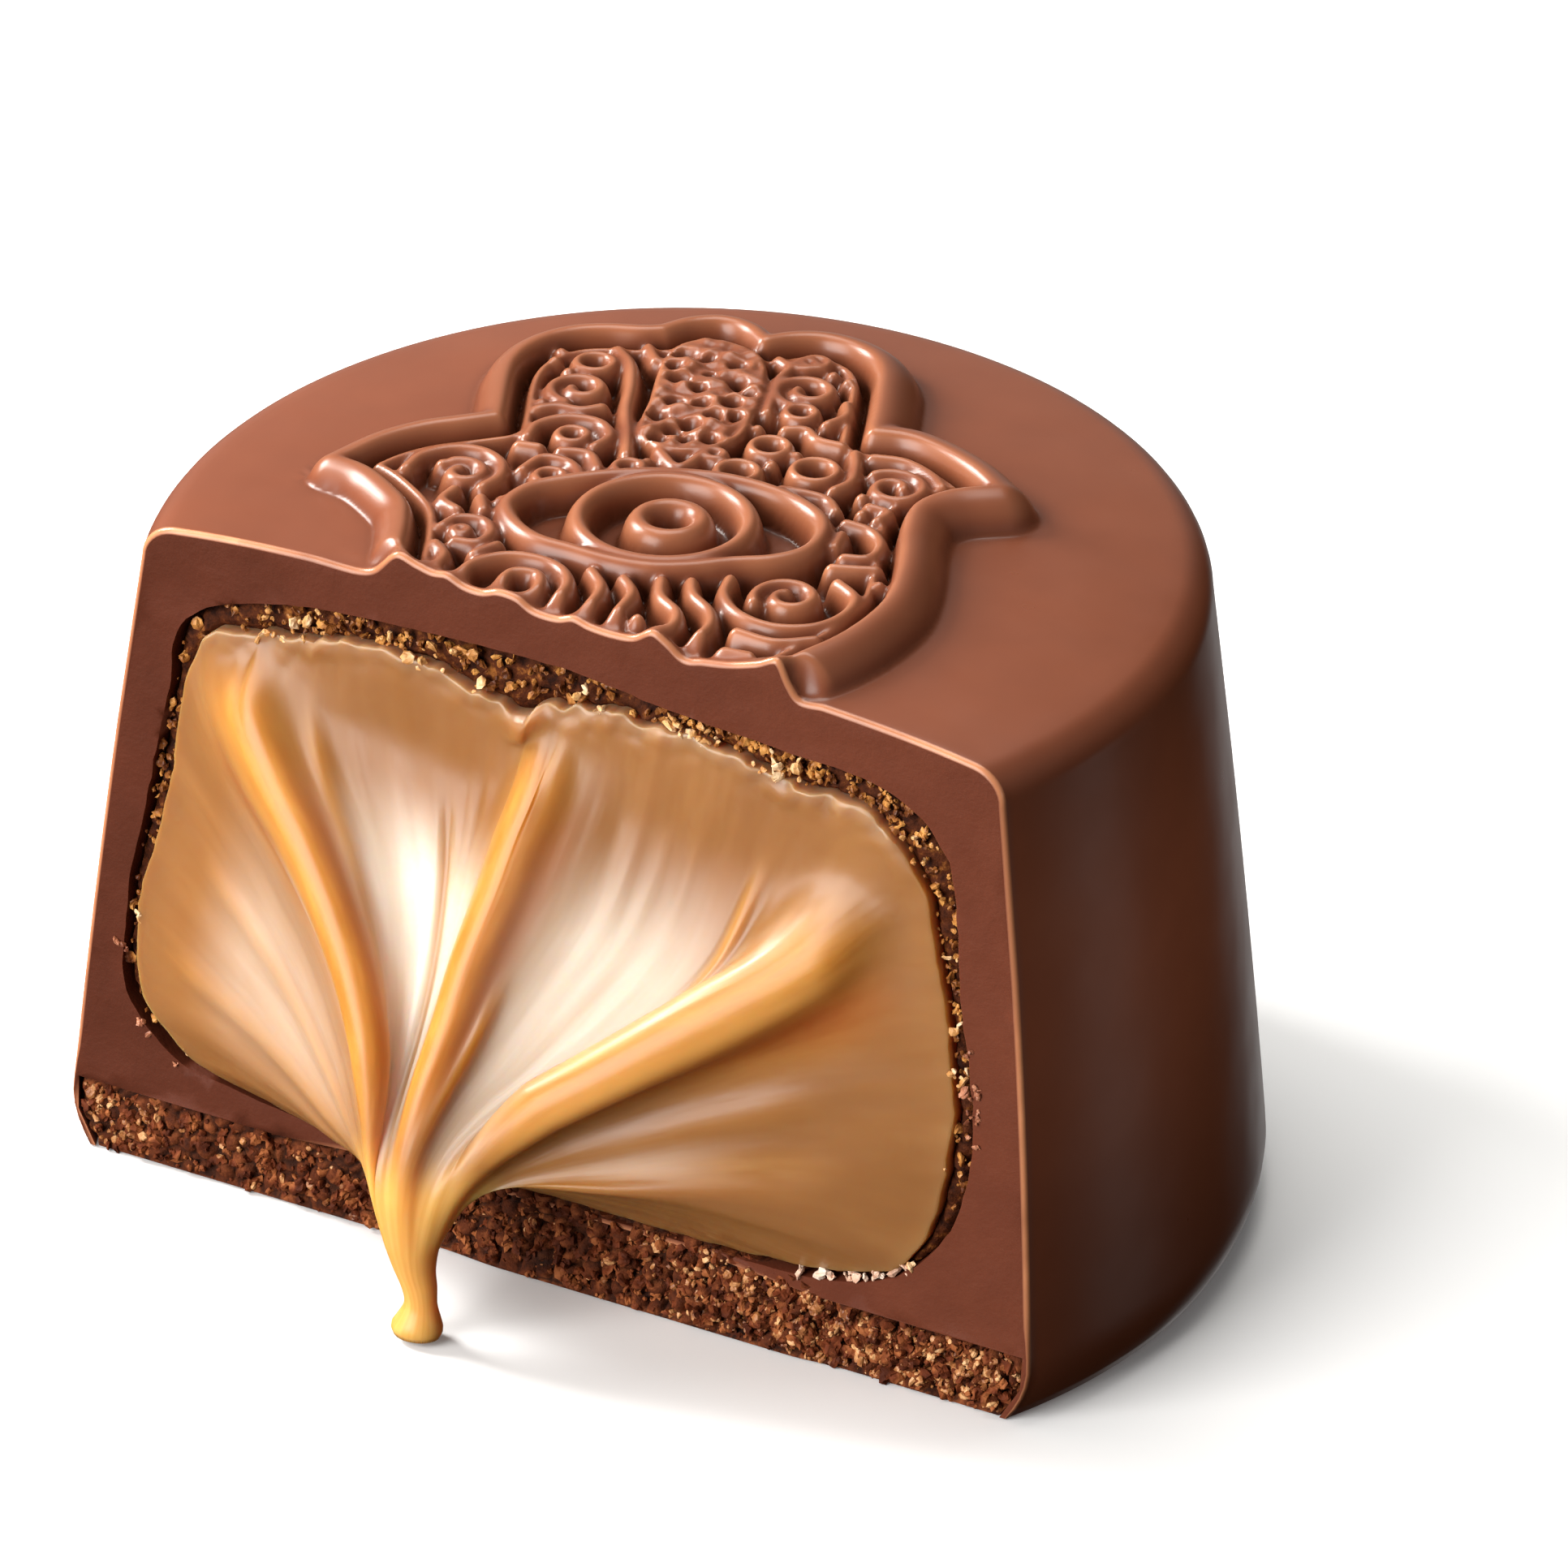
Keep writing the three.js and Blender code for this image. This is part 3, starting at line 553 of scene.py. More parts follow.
# The feather in the middle finger: its outline and the pits that pierce it.
FEATHER = [
    (-0.85, 4.2), (-0.85, 6.6), (-0.75, 8.8), (-0.35, 9.85), (0.5, 10.1), (1.6, 9.4), (1.95, 7.8),
    (1.85, 6.0), (1.55, 4.5), (0.3, 3.6),
]
FEATHER_LIFT = 0.6
FEATHER_BARBS = 0.22  # and its uneven barbs stand up and down by this much
FEATHER_RIM = (0.2, 0.04)  # half width of its rim, and how far it stands over the barbs
PIT_RADIUS = (0.15, 0.255)  # the narrowest pits and the widest
PITS = [
    (0.35, 9.0), (-0.35, 9.2), (1.25, 7.7), (0.3, 7.25), (1.6, 7.05), (-0.25, 6.4), (1.25, 6.5), (0.85, 5.75),
    (1.45, 5.75), (-0.6, 5.5), (-0.1, 4.75), (0.9, 4.4), (0.5, 8.1), (-0.3, 7.7), (1.2, 8.7), (0.45, 6.4),
    (-0.55, 8.5), (0.3, 5.2), (-0.45, 4.2), (0.3, 4.3),
]


def in_plan(line):
    """Points of the hand's frame, in the truffle's own plan."""
    line = np.array(line, float).reshape(-1, 2)
    cos, sin = math.cos(HAND_TURN), math.sin(HAND_TURN)
    x = HAND_EYE[0] + line[:, 0] * cos - line[:, 1] * sin
    y = HAND_EYE[1] + line[:, 0] * sin + line[:, 1] * cos
    return np.column_stack([x, y])


def circle(x, y, radius):
    """Points round a circle, the last on the first."""
    turn = np.linspace(0, 2 * math.pi, max(9, int(2 * math.pi * radius / 0.12)))
    return np.column_stack([x + radius * np.cos(turn), y + radius * np.sin(turn)])


def volute(x, y, outer, inner, start, turns):
    """Points of a spiral that winds from its outer to its inner radius."""
    share = np.linspace(0, 1, int(abs(turns) * 26))
    turn = math.radians(start) + share * turns * 2 * math.pi
    radius = outer + (inner - outer) * share
    return np.column_stack([x + radius * np.cos(turn), y + radius * np.sin(turn)])


class Relief:
    """A height field over a stretch of the top, raised ridge by ridge."""

    def __init__(self, x, y):
        self.x, self.y = x, y
        self.height = np.zeros((len(y), len(x)))

    def window(self, line, reach):
        """The rows and columns of the field that lie within reach of a line of plan points."""
        i0, i1 = np.searchsorted(self.x, [line[:, 0].min() - reach, line[:, 0].max() + reach])
        j0, j1 = np.searchsorted(self.y, [line[:, 1].min() - reach, line[:, 1].max() + reach])
        return slice(j0, j1), slice(i0, i1)

    def distance(self, line, rows, columns):
        """How far the points of the window lie from a line of plan points."""
        px, py = np.meshgrid(self.x[columns], self.y[rows])
        nearest = np.full(px.shape, 1e9)
        for a, b in zip(line[:-1], line[1:]):
            run = b - a
            share = ((px - a[0]) * run[0] + (py - a[1]) * run[1]) / max(1e-9, run @ run)
            share = np.clip(share, 0, 1)
            away = (px - a[0] - share * run[0]) ** 2 + (py - a[1] - share * run[1]) ** 2
            nearest = np.minimum(nearest, away)
        return np.sqrt(nearest)

    def ridge(self, line, half, lift, power=0.5):
        """A rounded ridge along a line of the hand's frame."""
        line = in_plan(line)
        rows, columns = self.window(line, half)
        if rows.start >= rows.stop or columns.start >= columns.stop:
            return
        away = self.distance(line, rows, columns)
        crest = FLOOR + (lift - FLOOR) * np.clip(1 - (away / half) ** 2, 0, 1) ** power
        there = self.height[rows, columns]
        self.height[rows, columns] = np.where(away < half, np.maximum(crest, there), there)

    def pit(self, place, radius, depth):
        """A round pit at a place of the hand's frame."""
        line = in_plan([place, place])
        rows, columns = self.window(line, radius * 1.6)
        away = self.distance(line, rows, columns)
        self.height[rows, columns] -= depth * np.exp(-((away / radius) ** 4))

    def inside(self, outline):
        """Which points lie inside a closed line of the hand's frame."""
        px, py = np.meshgrid(self.x, self.y)
        return in_loop(np.column_stack([px.ravel(), py.ravel()]), in_plan(outline)).reshape(px.shape)

    def at(self, x, y, values=None):
        """The height, or another value, at any points, from the four grid points round each."""
        values = self.height if values is None else values
        across = np.interp(x, self.x, np.arange(len(self.x)))
        up = np.interp(y, self.y, np.arange(len(self.y)))
        i = np.minimum(across.astype(int), len(self.x) - 2)
        j = np.minimum(up.astype(int), len(self.y) - 2)
        u, v = across - i, up - j
        low = values[j, i] * (1 - u) + values[j, i + 1] * u
        high = values[j + 1, i] * (1 - u) + values[j + 1, i + 1] * u
        return low * (1 - v) + high * v

    def soften(self, times):
        """Spreads each height a little over its neighbours, that many times."""
        for _ in range(times):
            padded = np.pad(self.height, 1, mode="edge")
            across = (padded[:, :-2] + 2 * padded[:, 1:-1] + padded[:, 2:]) / 4
            self.height = (across[:-2] + 2 * across[1:-1] + across[2:]) / 4

    def wear(self):
        """How much painted shade each point gets in a groove, and how much painted highlight on a crest, by
        the level of the ground round it.
        """
        level = Relief(self.x, self.y)
        level.height = self.height.copy()
        level.soften(LEVELLED)
        hollow = level.height - self.height
        self.painted_shade = np.clip(hollow / 0.4, 0, 1)
        self.highlighted = np.clip(-hollow / 0.36, 0, 1) * CREST_HIGHLIGHT


def carved_hand(x, y):
    """The open hand's relief over the dome, on a grid of plan points."""
    relief = Relief(x, y)
    outline = np.vstack([smooth_line(stretch, 0.2)[:-1] for stretch in HAND_OUTLINE])
    inside = relief.inside(outline)
    relief.height[inside] = FLOOR
    for line in SCROLLS:
        relief.ridge(smooth_line(line, 0.12), SCROLL_HALF, SCROLL_LIFT)
    for x0, y0, outer, inner, start, turns in VOLUTES:
        relief.ridge(volute(x0, y0, outer, inner, start, turns), SCROLL_HALF, SCROLL_LIFT)
    for x0, y0, radius in RINGS:
        relief.ridge(circle(x0, y0, radius), RING_HALF, SCROLL_LIFT)
    for place in BEADS:
        relief.ridge([place, place], SCROLL_HALF, SCROLL_LIFT * 0.95)
    pad = smooth_line(FEATHER, 0.15, closed=True)
    inside_pad = relief.inside(pad)
    px, py = np.meshgrid(x, y)
    places = np.column_stack([px[inside_pad], py[inside_pad], np.zeros(inside_pad.sum())])
    barbs = FEATHER_LIFT + FEATHER_BARBS * speckle(places, 0.42, 2.0)
    relief.height[inside_pad] = np.maximum(relief.height[inside_pad], barbs)
    relief.ridge(np.vstack([pad, pad[:1]]), FEATHER_RIM[0], FEATHER_LIFT + FEATHER_RIM[1])
    for k, place in enumerate(PITS):
        relief.pit(place, PIT_RADIUS[0] + (PIT_RADIUS[1] - PIT_RADIUS[0]) * (k * 7 % 4) / 3, FEATHER_LIFT)
    almond = smooth_line(ALMOND, 0.15, closed=True)
    relief.height[relief.inside(almond)] = FLOOR
    relief.ridge(np.vstack([almond, almond[:1]]), EYE_HALF, EYE_LIFT)
    relief.ridge(circle(*IRIS), EYE_HALF, EYE_LIFT + 0.03)
    relief.ridge(circle(*PUPIL), PUPIL_HALF, EYE_LIFT)

    away = relief.distance(in_plan(np.vstack([outline, outline[:1]])), slice(None), slice(None))
    set_in, half, lift = INNER_LINE
    thin = FLOOR + (lift - FLOOR) * np.clip(1 - ((away - set_in) / half) ** 2, 0, 1) ** 0.5
    inner_rim = FLOOR + (RIM_LIFT - FLOOR) * np.clip(1 - (away / RIM_INNER) ** 2, 0, 1) ** 0.5
    across = (px - HAND_EYE[0]) * math.cos(HAND_TURN) + (py - HAND_EYE[1]) * math.sin(HAND_TURN)
    slope = RIM_OUTER[0] + (RIM_OUTER[1] - RIM_OUTER[0]) * ramp(across, 1.0, 6.0)
    outer_rim = RIM_LIFT * np.clip(1 - (away / slope) ** 2, 0, 1) ** 0.75
    relief.height = np.where(inside, np.maximum(relief.height, np.maximum(thin, inner_rim)), outer_rim)
    relief.height *= 1 + LEAN / RIM_LIFT * across
    relief.soften(1)
    crest = smooth_line(CUT_CREST, 0.08)
    dragged = 1 - ramp(py + CUT, *KNIFE_DRAG)
    relief.height += (np.interp(px, crest[:, 0], crest[:, 1]) - relief.height) * dragged
    relief.wear()
    return relief


# ------------------------------------------------------------------ the shell

THINNED = 3  # outside the relief, one column goes on for this many in it
TOP_ROWS = 9
SHOULDER_ROWS = 8
SIDE_ROWS = 26
EDGE_ROWS = 5
HOLLOW_ROWS = 9
EDGE_AT_BASE = 0.5  # beside the base, where the chocolate is thin, the cut's edge is this much as round
EDGE_HIGHLIGHT = 0.8  # how pale the softened edge is painted where its painted highlight is strongest
RELIEF_HIGHLIGHT = 0.75  # and this much as pale along the relief, the same painted highlight
SEAM_HIGHLIGHT = 0.7  # and the painted highlight on the line where the cut chocolate meets the crumb base
FACE_STEP = 0.42  # spacing of the points that make the cut face slightly uneven


def side_profile():
    """Radius and height of the rows from the rim of the top down to the foot."""
    turns = np.linspace(SHOULDER_TURN, 0, SHOULDER_ROWS + 1)
    rim_radius = SHOULDER_RADIUS - SHOULDER_ROUND * (1 - math.cos(SHOULDER_TURN))
    rim_z = top_height(rim_radius, 0.0)
    rise = (rim_z - SHOULDER_Z) / math.sin(SHOULDER_TURN)
    rows = [
        (SHOULDER_RADIUS - SHOULDER_ROUND * (1 - math.cos(turn)), SHOULDER_Z + rise * math.sin(turn))
        for turn in turns
    ]
    heights = SHOULDER_Z * (1 - ramp(np.arange(1, SIDE_ROWS + 1) / SIDE_ROWS, -0.6, 1.3))
    heights = (heights - heights[-1]) / (SHOULDER_Z - heights[-1]) * SHOULDER_Z
    return rows + [(side_radius(z), z) for z in heights]


def cut_outline_normals(line):
    """Outward normals, in the plane of the cut, of a line that runs from the left foot over the top."""
    run = np.gradient(line[:, [0, 2]], axis=0)
    run /= np.linalg.norm(run, axis=1, keepdims=True)
    return np.column_stack([-run[:, 1], run[:, 0]])


def pocket_rows(shares):
    """Rows of the underside's pocket for the crumb base, and the middle of its roof."""
    wall = WIDEST_RADIUS - BASE_SKIN
    profile = [(wall - (WIDEST_RADIUS - FOOT_RADIUS), 0.0), (wall, BASE_FOOT), (wall, BASE_TOP)]
    profile += [(10.2, BASE_TOP), (7.6, BASE_TOP + BASE_MOUND)]
    rows = [round_row(radius, z, shares, -CUT) for radius, z in profile]
    middle = centre_at(BASE_TOP)[0]
    return np.array(rows), np.array([middle, -CUT, BASE_TOP + BASE_MOUND])


def cut_face(outer, inner, seam_from):
    """The flat cut between the outline and the mouth of the hollow, as triangles, a little uneven.
    The outline's points from seam_from on lie along the crumb base."""
    low, high = outer.min(0), outer.max(0)
    columns, rows = (np.arange(low[i], high[i], FACE_STEP) for i in range(2))
    grid = np.stack(np.meshgrid(columns, rows), -1).reshape(-1, 2)
    grid += 0.12 * np.column_stack([np.sin(grid[:, 1] * 9.7), np.cos(grid[:, 0] * 11.3)])
    kept = in_loop(grid, outer) & ~in_loop(grid, inner)
    for loop in (outer, inner):
        away = grid[:, None] - loop[None, ::2]
        kept &= np.min(np.hypot(away[..., 0], away[..., 1]), axis=1) > FACE_STEP * 0.5
    points = np.vstack([outer, inner, grid[kept]])
    count, hollow = len(outer), len(inner)
    edges = [(k, (k + 1) % count) for k in range(count)]
    edges += [(count + k, count + (k + 1) % hollow) for k in range(hollow)]
    made = geometry.delaunay_2d_cdt([Vector(p) for p in points.tolist()], edges, [], 1, 1e-7)
    places = np.array([tuple(v) for v in made[0]])
    triangles = np.array(made[2])
    middles = places[triangles].mean(1)
    triangles = triangles[in_loop(middles, outer) & ~in_loop(middles, inner)]
    face = np.column_stack([places[:, 0], np.full(len(places), -CUT), places[:, 1]])
    first_inside = count + hollow
    inside = np.array([ids[0] >= first_inside if ids else False for ids in made[3]])
    # Painted highlight: the points along the crumb base get a pale line.
    seam = np.array([bool(ids) and seam_from <= ids[0] < count for ids in made[3]])
    wave = 0.05 * speckle(face, 1.7, 3.0) + 0.02 * speckle(face, 0.6, 9.0)
    face[inside, 1] += wave[inside]
    return face, triangles, SEAM_HIGHLIGHT * seam


def hollow_rows(mouth):
    """Rows of the hollow from its mouth on the cut, and the point at its very back."""
    rows = []
    for turn in math.pi / 2 * np.arange(HOLLOW_ROWS) / HOLLOW_ROWS:
        rows.append(np.column_stack([
            HOLLOW_CENTRE[0] + (mouth[:, 0] - HOLLOW_CENTRE[0]) * math.cos(turn),
            np.full(len(mouth), -CUT + HOLLOW_DEPTH * math.sin(turn)),
            HOLLOW_CENTRE[1] + (mouth[:, 1] - HOLLOW_CENTRE[1]) * math.cos(turn),
        ]))
    return np.array(rows), np.array([HOLLOW_CENTRE[0], -CUT + HOLLOW_DEPTH, HOLLOW_CENTRE[1]])


def cavity_mouth():
    """The mouth of the hollow in the shell: a smooth loop whose edge is a little ragged."""
    loop = smooth_line(CAVITY_EDGE, 0.3, closed=True)
    away = loop - np.array(HOLLOW_CENTRE)
    away /= np.linalg.norm(away, axis=1, keepdims=True)
    ragged = speckle(np.column_stack([loop, np.zeros(len(loop))]), 0.5, 21.0)
    return loop + away * (0.05 * ragged)[:, None]


def domed_top():
    """The closely meshed stretch of the top as a grid, with the painted highlight and the painted shade at
    each point.
    """
    (x_low, x_high), (y_low, y_high) = RELIEF_PLAN
    x = np.linspace(x_low, x_high, THINNED * round((x_high - x_low) / RELIEF_STEP / THINNED) + 1)
    y = np.linspace(y_low, y_high, THINNED * round((y_high - y_low) / RELIEF_STEP / THINNED) + 1)
    reach = np.sqrt(RELIEF_LIMIT**2 - (y / DEPTH_TO_WIDTH) ** 2)[:, None]
    left, right = np.maximum(x_low, -reach), np.minimum(x_high, reach)
    px = left + (right - left) * np.linspace(0, 1, len(x))
    py = np.broadcast_to(y[:, None], px.shape)
    relief = carved_hand(x, y)
    top = np.dstack([px, py, top_height(px, py) + relief.at(px, py)])
    return top, relief.at(px, py, relief.highlighted), relief.at(px, py, relief.painted_shade)


def outer_rows(start, front):
    """Rows from a starting row on the top, over the rim and down to the foot, and where their points
    lie between the left and the right of the cut, from 0 to 1."""
    turn = np.arctan2(start[:, 1] / DEPTH_TO_WIDTH, start[:, 0])
    turn = np.where(turn < -math.pi / 2, turn + 2 * math.pi, turn)
    shares = (turn[0] - turn) / (turn[0] - turn[-1])
    down = [round_row(radius, z, shares, front) for radius, z in side_profile()]
    outward = []
    for share in np.arange(1, TOP_ROWS) / TOP_ROWS:
        row = start * (1 - share) + down[0] * share
        row[:, 2] = top_height(row[:, 0], row[:, 1])
        outward.append(row)
    return np.array(outward + down), shares


def softened_edge(outline):
    """Rows that turn the outline of the cut round onto its face, and how much painted highlight they carry.
    """
    normals = cut_outline_normals(outline)
    normals[0], normals[-1] = (-1, 0), (1, 0)
    roundness = EDGE_AT_BASE + (1 - EDGE_AT_BASE) * ramp(outline[:, 2], BASE_TOP, BASE_TOP + 1.2)
    rows = []
    for turn in math.pi / 2 * np.arange(EDGE_ROWS + 1) / EDGE_ROWS:
        inward = EDGE_ROUND * (1 - math.cos(turn)) * roundness
        row = outline.copy()
        row[:, 0] -= normals[:, 0] * inward
        row[:, 2] -= normals[:, 1] * inward
        row[:, 1] = -CUT + EDGE_ROUND * (1 - math.sin(turn))
        rows.append(row)
    uneven = 0.85 + 0.4 * speckle(outline, 2.2, 6.0) + 0.3 * speckle(outline, 0.6, 3.0)
    carved = outline[:, 2] > SHOULDER_Z + 1.3
    uneven = np.where(carved, RELIEF_HIGHLIGHT, 1.0) * np.clip(uneven, 0, 1.2)
    # Painted highlight along the softened edge, strongest half-way round it.
    highlighted = EDGE_HIGHLIGHT * np.sin(np.linspace(0, math.pi, EDGE_ROWS + 1))[:, None] ** 0.5 * uneven
    return np.array(rows), highlighted


def make_shell():
    """The shell: its top with the relief, sides, softened cut edge, cut face, hollow and pocket."""
    top, highlighted, painted_shade = domed_top()
    skin = Skin()
    # the top carries painted highlights on its crests and painted shade in its grooves
    skin.sheet(top, edge=highlighted, painted_shade=painted_shade)

    # outside the carved stretch one column goes on for a few in it
    border = np.vstack([top[:, 0], top[-1, 1:], top[-2::-1, -1]])
    rows, shares = outer_rows(border[::THINNED], top[0, 0, 1])
    skin.sheet(rows)
    joint = [
        [len(border) + k, *range(k * THINNED, k * THINNED + THINNED + 1), len(border) + k + 1]
        for k in range(rows.shape[1] - 1)
    ]
    skin.add(np.vstack([border, rows[0]]), joint)

    turned, highlighted = softened_edge(np.vstack([rows[::-1, 0], top[0], rows[:, -1]]))
    skin.sheet(turned, edge=highlighted)

    pocket, roof = pocket_rows(shares)
    skin.sheet(np.array([rows[-1], pocket[0]]))
    skin.sheet(pocket)
    skin.fan(roof, pocket[-1])
    for side in (0, -1):
        foot = np.vstack([turned[:, side], pocket[0, side]])
        skin.add(foot, [range(len(foot))])

    mouth = cavity_mouth()
    under = np.vstack([pocket[:, -1], roof[None], pocket[::-1, 0]])
    loop = np.vstack([turned[-1], under])[:, [0, 2]]
    face, triangles, seam = cut_face(loop, mouth, len(turned[-1]))
    skin.add(face, triangles, finish=1, edge=seam)
    back, end = hollow_rows(mouth)
    skin.sheet(back, wrap=True, finish=1)
    skin.fan(end, back[-1], wrap=True, finish=1)
    lay(skin.build("chocolate_shell", [milk_chocolate(), cut_chocolate()]), "milk_chocolate", "shell")


# ------------------------------------------------------------------ the filling

# What stands forward of the cut is drawn by where it is seen against the cut from the front right,
# and by how far forward it is. Each millimetre forward shows it this far left of and below its place.
SEEN_LEFT = 0.538
SEEN_BELOW = 0.632

FILLING_EDGE = [
    (-10.9, 16.7), (-11.5, 15.7), (-11.95, 13.4), (-12.1, 11.9), (-12.45, 10.1), (-12.9, 8.4), (-13.0, 6.8),
    (-12.8, 5.1), (-11.9, 4.0), (-10.9, 3.4), (-9.0, 2.95), (-7.4, 2.65), (-4.0, 2.6), (0.0, 2.65),
    (4.0, 2.65), (7.5, 2.8), (8.8, 3.0), (10.3, 3.5), (11.05, 4.4), (11.55, 5.7), (11.75, 7.0),
    (11.95, 8.7), (11.8, 10.2), (11.65, 11.6), (11.35, 12.9), (11.1, 14.1), (10.8, 15.3), (10.0, 16.3),
    (8.9, 17.15), (6.9, 17.2), (4.8, 17.6), (2.5, 17.75), (0.6, 17.75), (-0.4, 17.6), (-0.95, 17.45),
    (-1.2, 17.0), (-1.6, 16.9), (-2.1, 17.08), (-2.8, 17.2), (-4.1, 17.5), (-5.9, 17.75), (-8.0, 17.3),
    (-9.6, 17.0),
]
NECK = (-2.05, 4.45, 4.5)  # x, forward of the cut, and z of the ring where the folds meet
NECK_RADIUS = 1.3
NECK_FLAT = 0.85  # the neck is this much shallower than it is wide
# The drip below the neck: height, radius, x.
DRIP = [
    (4.5, 1.3, -2.05), (3.6, 0.95, -2.0), (2.8, 0.74, -1.9), (2.1, 0.58, -1.8), (1.6, 0.5, -1.65),
    (1.1, 0.46, -1.58), (0.7, 0.6, -1.62), (0.35, 0.73, -1.68), (0.14, 0.66, -1.68),
]
DRIP_FOOT = 0.06

# Lines of the skin from the edge of the cut to the neck, as seen against the cut, each with the
# share of its length that stays flush with the cut, how its reach forward grows, and its sag.
STRANDS = [
    {"path": [(11.95, 8.7), (8.4, 7.6), (4.6, 6.0), (1.4, 4.4), (-1.0, 3.1)],
     "flush": 0.0, "grow": 1.0, "sag": 0.10},
    {"path": [(11.75, 10.6), (9.2, 9.7), (5.6, 7.9), (2.2, 5.9), (-0.9, 3.7)],
     "flush": 0.0, "grow": 1.05, "sag": 0.16},
    {"path": [(11.2, 13.6), (9.7, 13.0), (8.0, 11.5), (5.2, 9.2), (2.2, 6.9), (-0.5, 4.7), (-1.9, 3.4)],
     "flush": 0.03, "grow": 1.0, "sag": -0.08},
    {"path": [(9.9, 16.4), (8.6, 14.6), (6.6, 12.0), (3.6, 9.3), (0.8, 6.9), (-1.5, 4.9), (-2.4, 3.6)],
     "flush": 0.08, "grow": 1.05, "sag": 0.0},
    {"path": [(6.9, 17.25), (5.9, 14.2), (4.7, 11.2), (2.6, 8.5), (0.2, 6.2), (-1.9, 4.4), (-2.9, 3.2)],
     "flush": 0.12, "grow": 1.15, "sag": 0.06},
    {"path": [(3.4, 17.75), (2.9, 14.6), (1.9, 11.4), (0.3, 8.7), (-1.3, 6.3), (-2.7, 4.5), (-3.5, 3.3)],
     "flush": 0.13, "grow": 1.15, "sag": 0.07},
    {"path": [(-0.35, 17.5), (-0.8, 15.0), (-1.4, 13.2), (-2.0, 11.3), (-2.75, 9.1), (-3.4, 6.8), (-4.0, 4.9),
              (-4.5, 3.4)],
     "flush": 0.05, "grow": 1.05, "sag": -0.06},
    {"path": [(-3.1, 17.85), (-3.15, 14.4), (-3.35, 11.6), (-3.7, 8.9), (-4.2, 6.4), (-4.7, 4.4)],
     "flush": 0.13, "grow": 1.15, "sag": 0.06},
    {"path": [(-6.2, 17.75), (-5.7, 14.4), (-5.0, 11.4), (-4.75, 8.6), (-4.85, 6.2), (-5.1, 4.4)],
     "flush": 0.12, "grow": 1.15, "sag": 0.08},
    {"path": [(-9.5, 17.0), (-9.7, 14.9), (-8.9, 12.9), (-7.9, 11.2), (-6.95, 9.3), (-6.2, 7.3), (-5.75, 5.2),
              (-5.6, 3.3)],
     "flush": 0.02, "grow": 1.0, "sag": -0.10},
    {"path": [(-11.9, 13.7), (-10.6, 11.8), (-9.1, 9.8), (-7.7, 7.6), (-6.7, 5.3), (-6.1, 3.4)],
     "flush": 0.0, "grow": 1.1, "sag": 0.08},
    {"path": [(-12.9, 8.4), (-11.2, 7.2), (-9.3, 5.8), (-7.6, 4.2), (-6.4, 2.8)],
     "flush": 0.0, "grow": 1.1, "sag": 0.08},
    {"path": [(-12.2, 4.3), (-10.4, 3.9), (-8.4, 3.2), (-6.6, 2.3)], "flush": 0.0, "grow": 1.1, "sag": 0.05},
    {"path": [(-7.4, 2.65), (-6.4, 2.4), (-5.2, 2.3)], "flush": 0.0, "grow": 1.0, "sag": 0.0},
    {"path": [(-0.5, 2.65), (-1.7, 2.6), (-3.0, 2.5)], "flush": 0.0, "grow": 1.0, "sag": 0.0},
    {"path": [(6.5, 2.75), (3.9, 3.1), (0.9, 3.0), (-1.6, 2.6)], "flush": 0.0, "grow": 0.8, "sag": -0.05},
    {"path": [(11.4, 5.2), (8.4, 4.9), (4.9, 4.3), (1.5, 3.4), (-1.2, 2.7)],
     "flush": 0.0, "grow": 0.8, "sag": -0.08},
]
# Cords and creases of the skin: the strand they follow, or the share of the way to the next one,
# half width at the edge and at the neck, lift, and where along the strand they begin.
CORDS = [
    {"on": 9.0, "wide": (1.0, 0.5), "lift": 0.62, "from": 0.02, "golden": 1.0},
    {"on": 6.0, "wide": (0.85, 0.42), "lift": 0.5, "from": 0.02, "golden": 1.0},
    {"on": 2.5, "wide": (1.5, 0.6), "lift": 0.8, "from": 0.06, "golden": 1.0},
    {"on": 4.0, "wide": (0.24, 0.16), "lift": 0.16, "from": 0.12, "golden": 0.7},
    {"on": 5.6, "wide": (0.2, 0.22), "lift": 0.2, "from": 0.5, "golden": 1.0},
    {"on": 8.55, "wide": (0.3, 0.14), "lift": 0.14, "from": 0.08, "golden": 0.6},
    {"on": 7.25, "wide": (0.2, 0.14), "lift": -0.14, "from": 0.2, "golden": 0.7},
    {"on": 10.5, "wide": (0.5, 0.2), "lift": 0.14, "from": 0.15, "golden": 0.2},
    {"on": 11.3, "wide": (0.5, 0.2), "lift": 0.14, "from": 0.1, "golden": 0.2},
    {"on": 9.6, "wide": (0.3, 0.15), "lift": -0.1, "from": 0.2, "golden": 0.3},
    # This crease's golden colour also paints the orange shade under the right cord.
    {"on": 1.7, "wide": (1.5, 0.5), "lift": -0.12, "from": 0.08, "golden": 0.9},
    {"on": 0.3, "wide": (0.6, 0.3), "lift": 0.12, "from": 0.2, "golden": 0.2},
    {"on": 16.4, "wide": (0.6, 0.3), "lift": -0.12, "from": 0.2, "golden": 0.3},
]
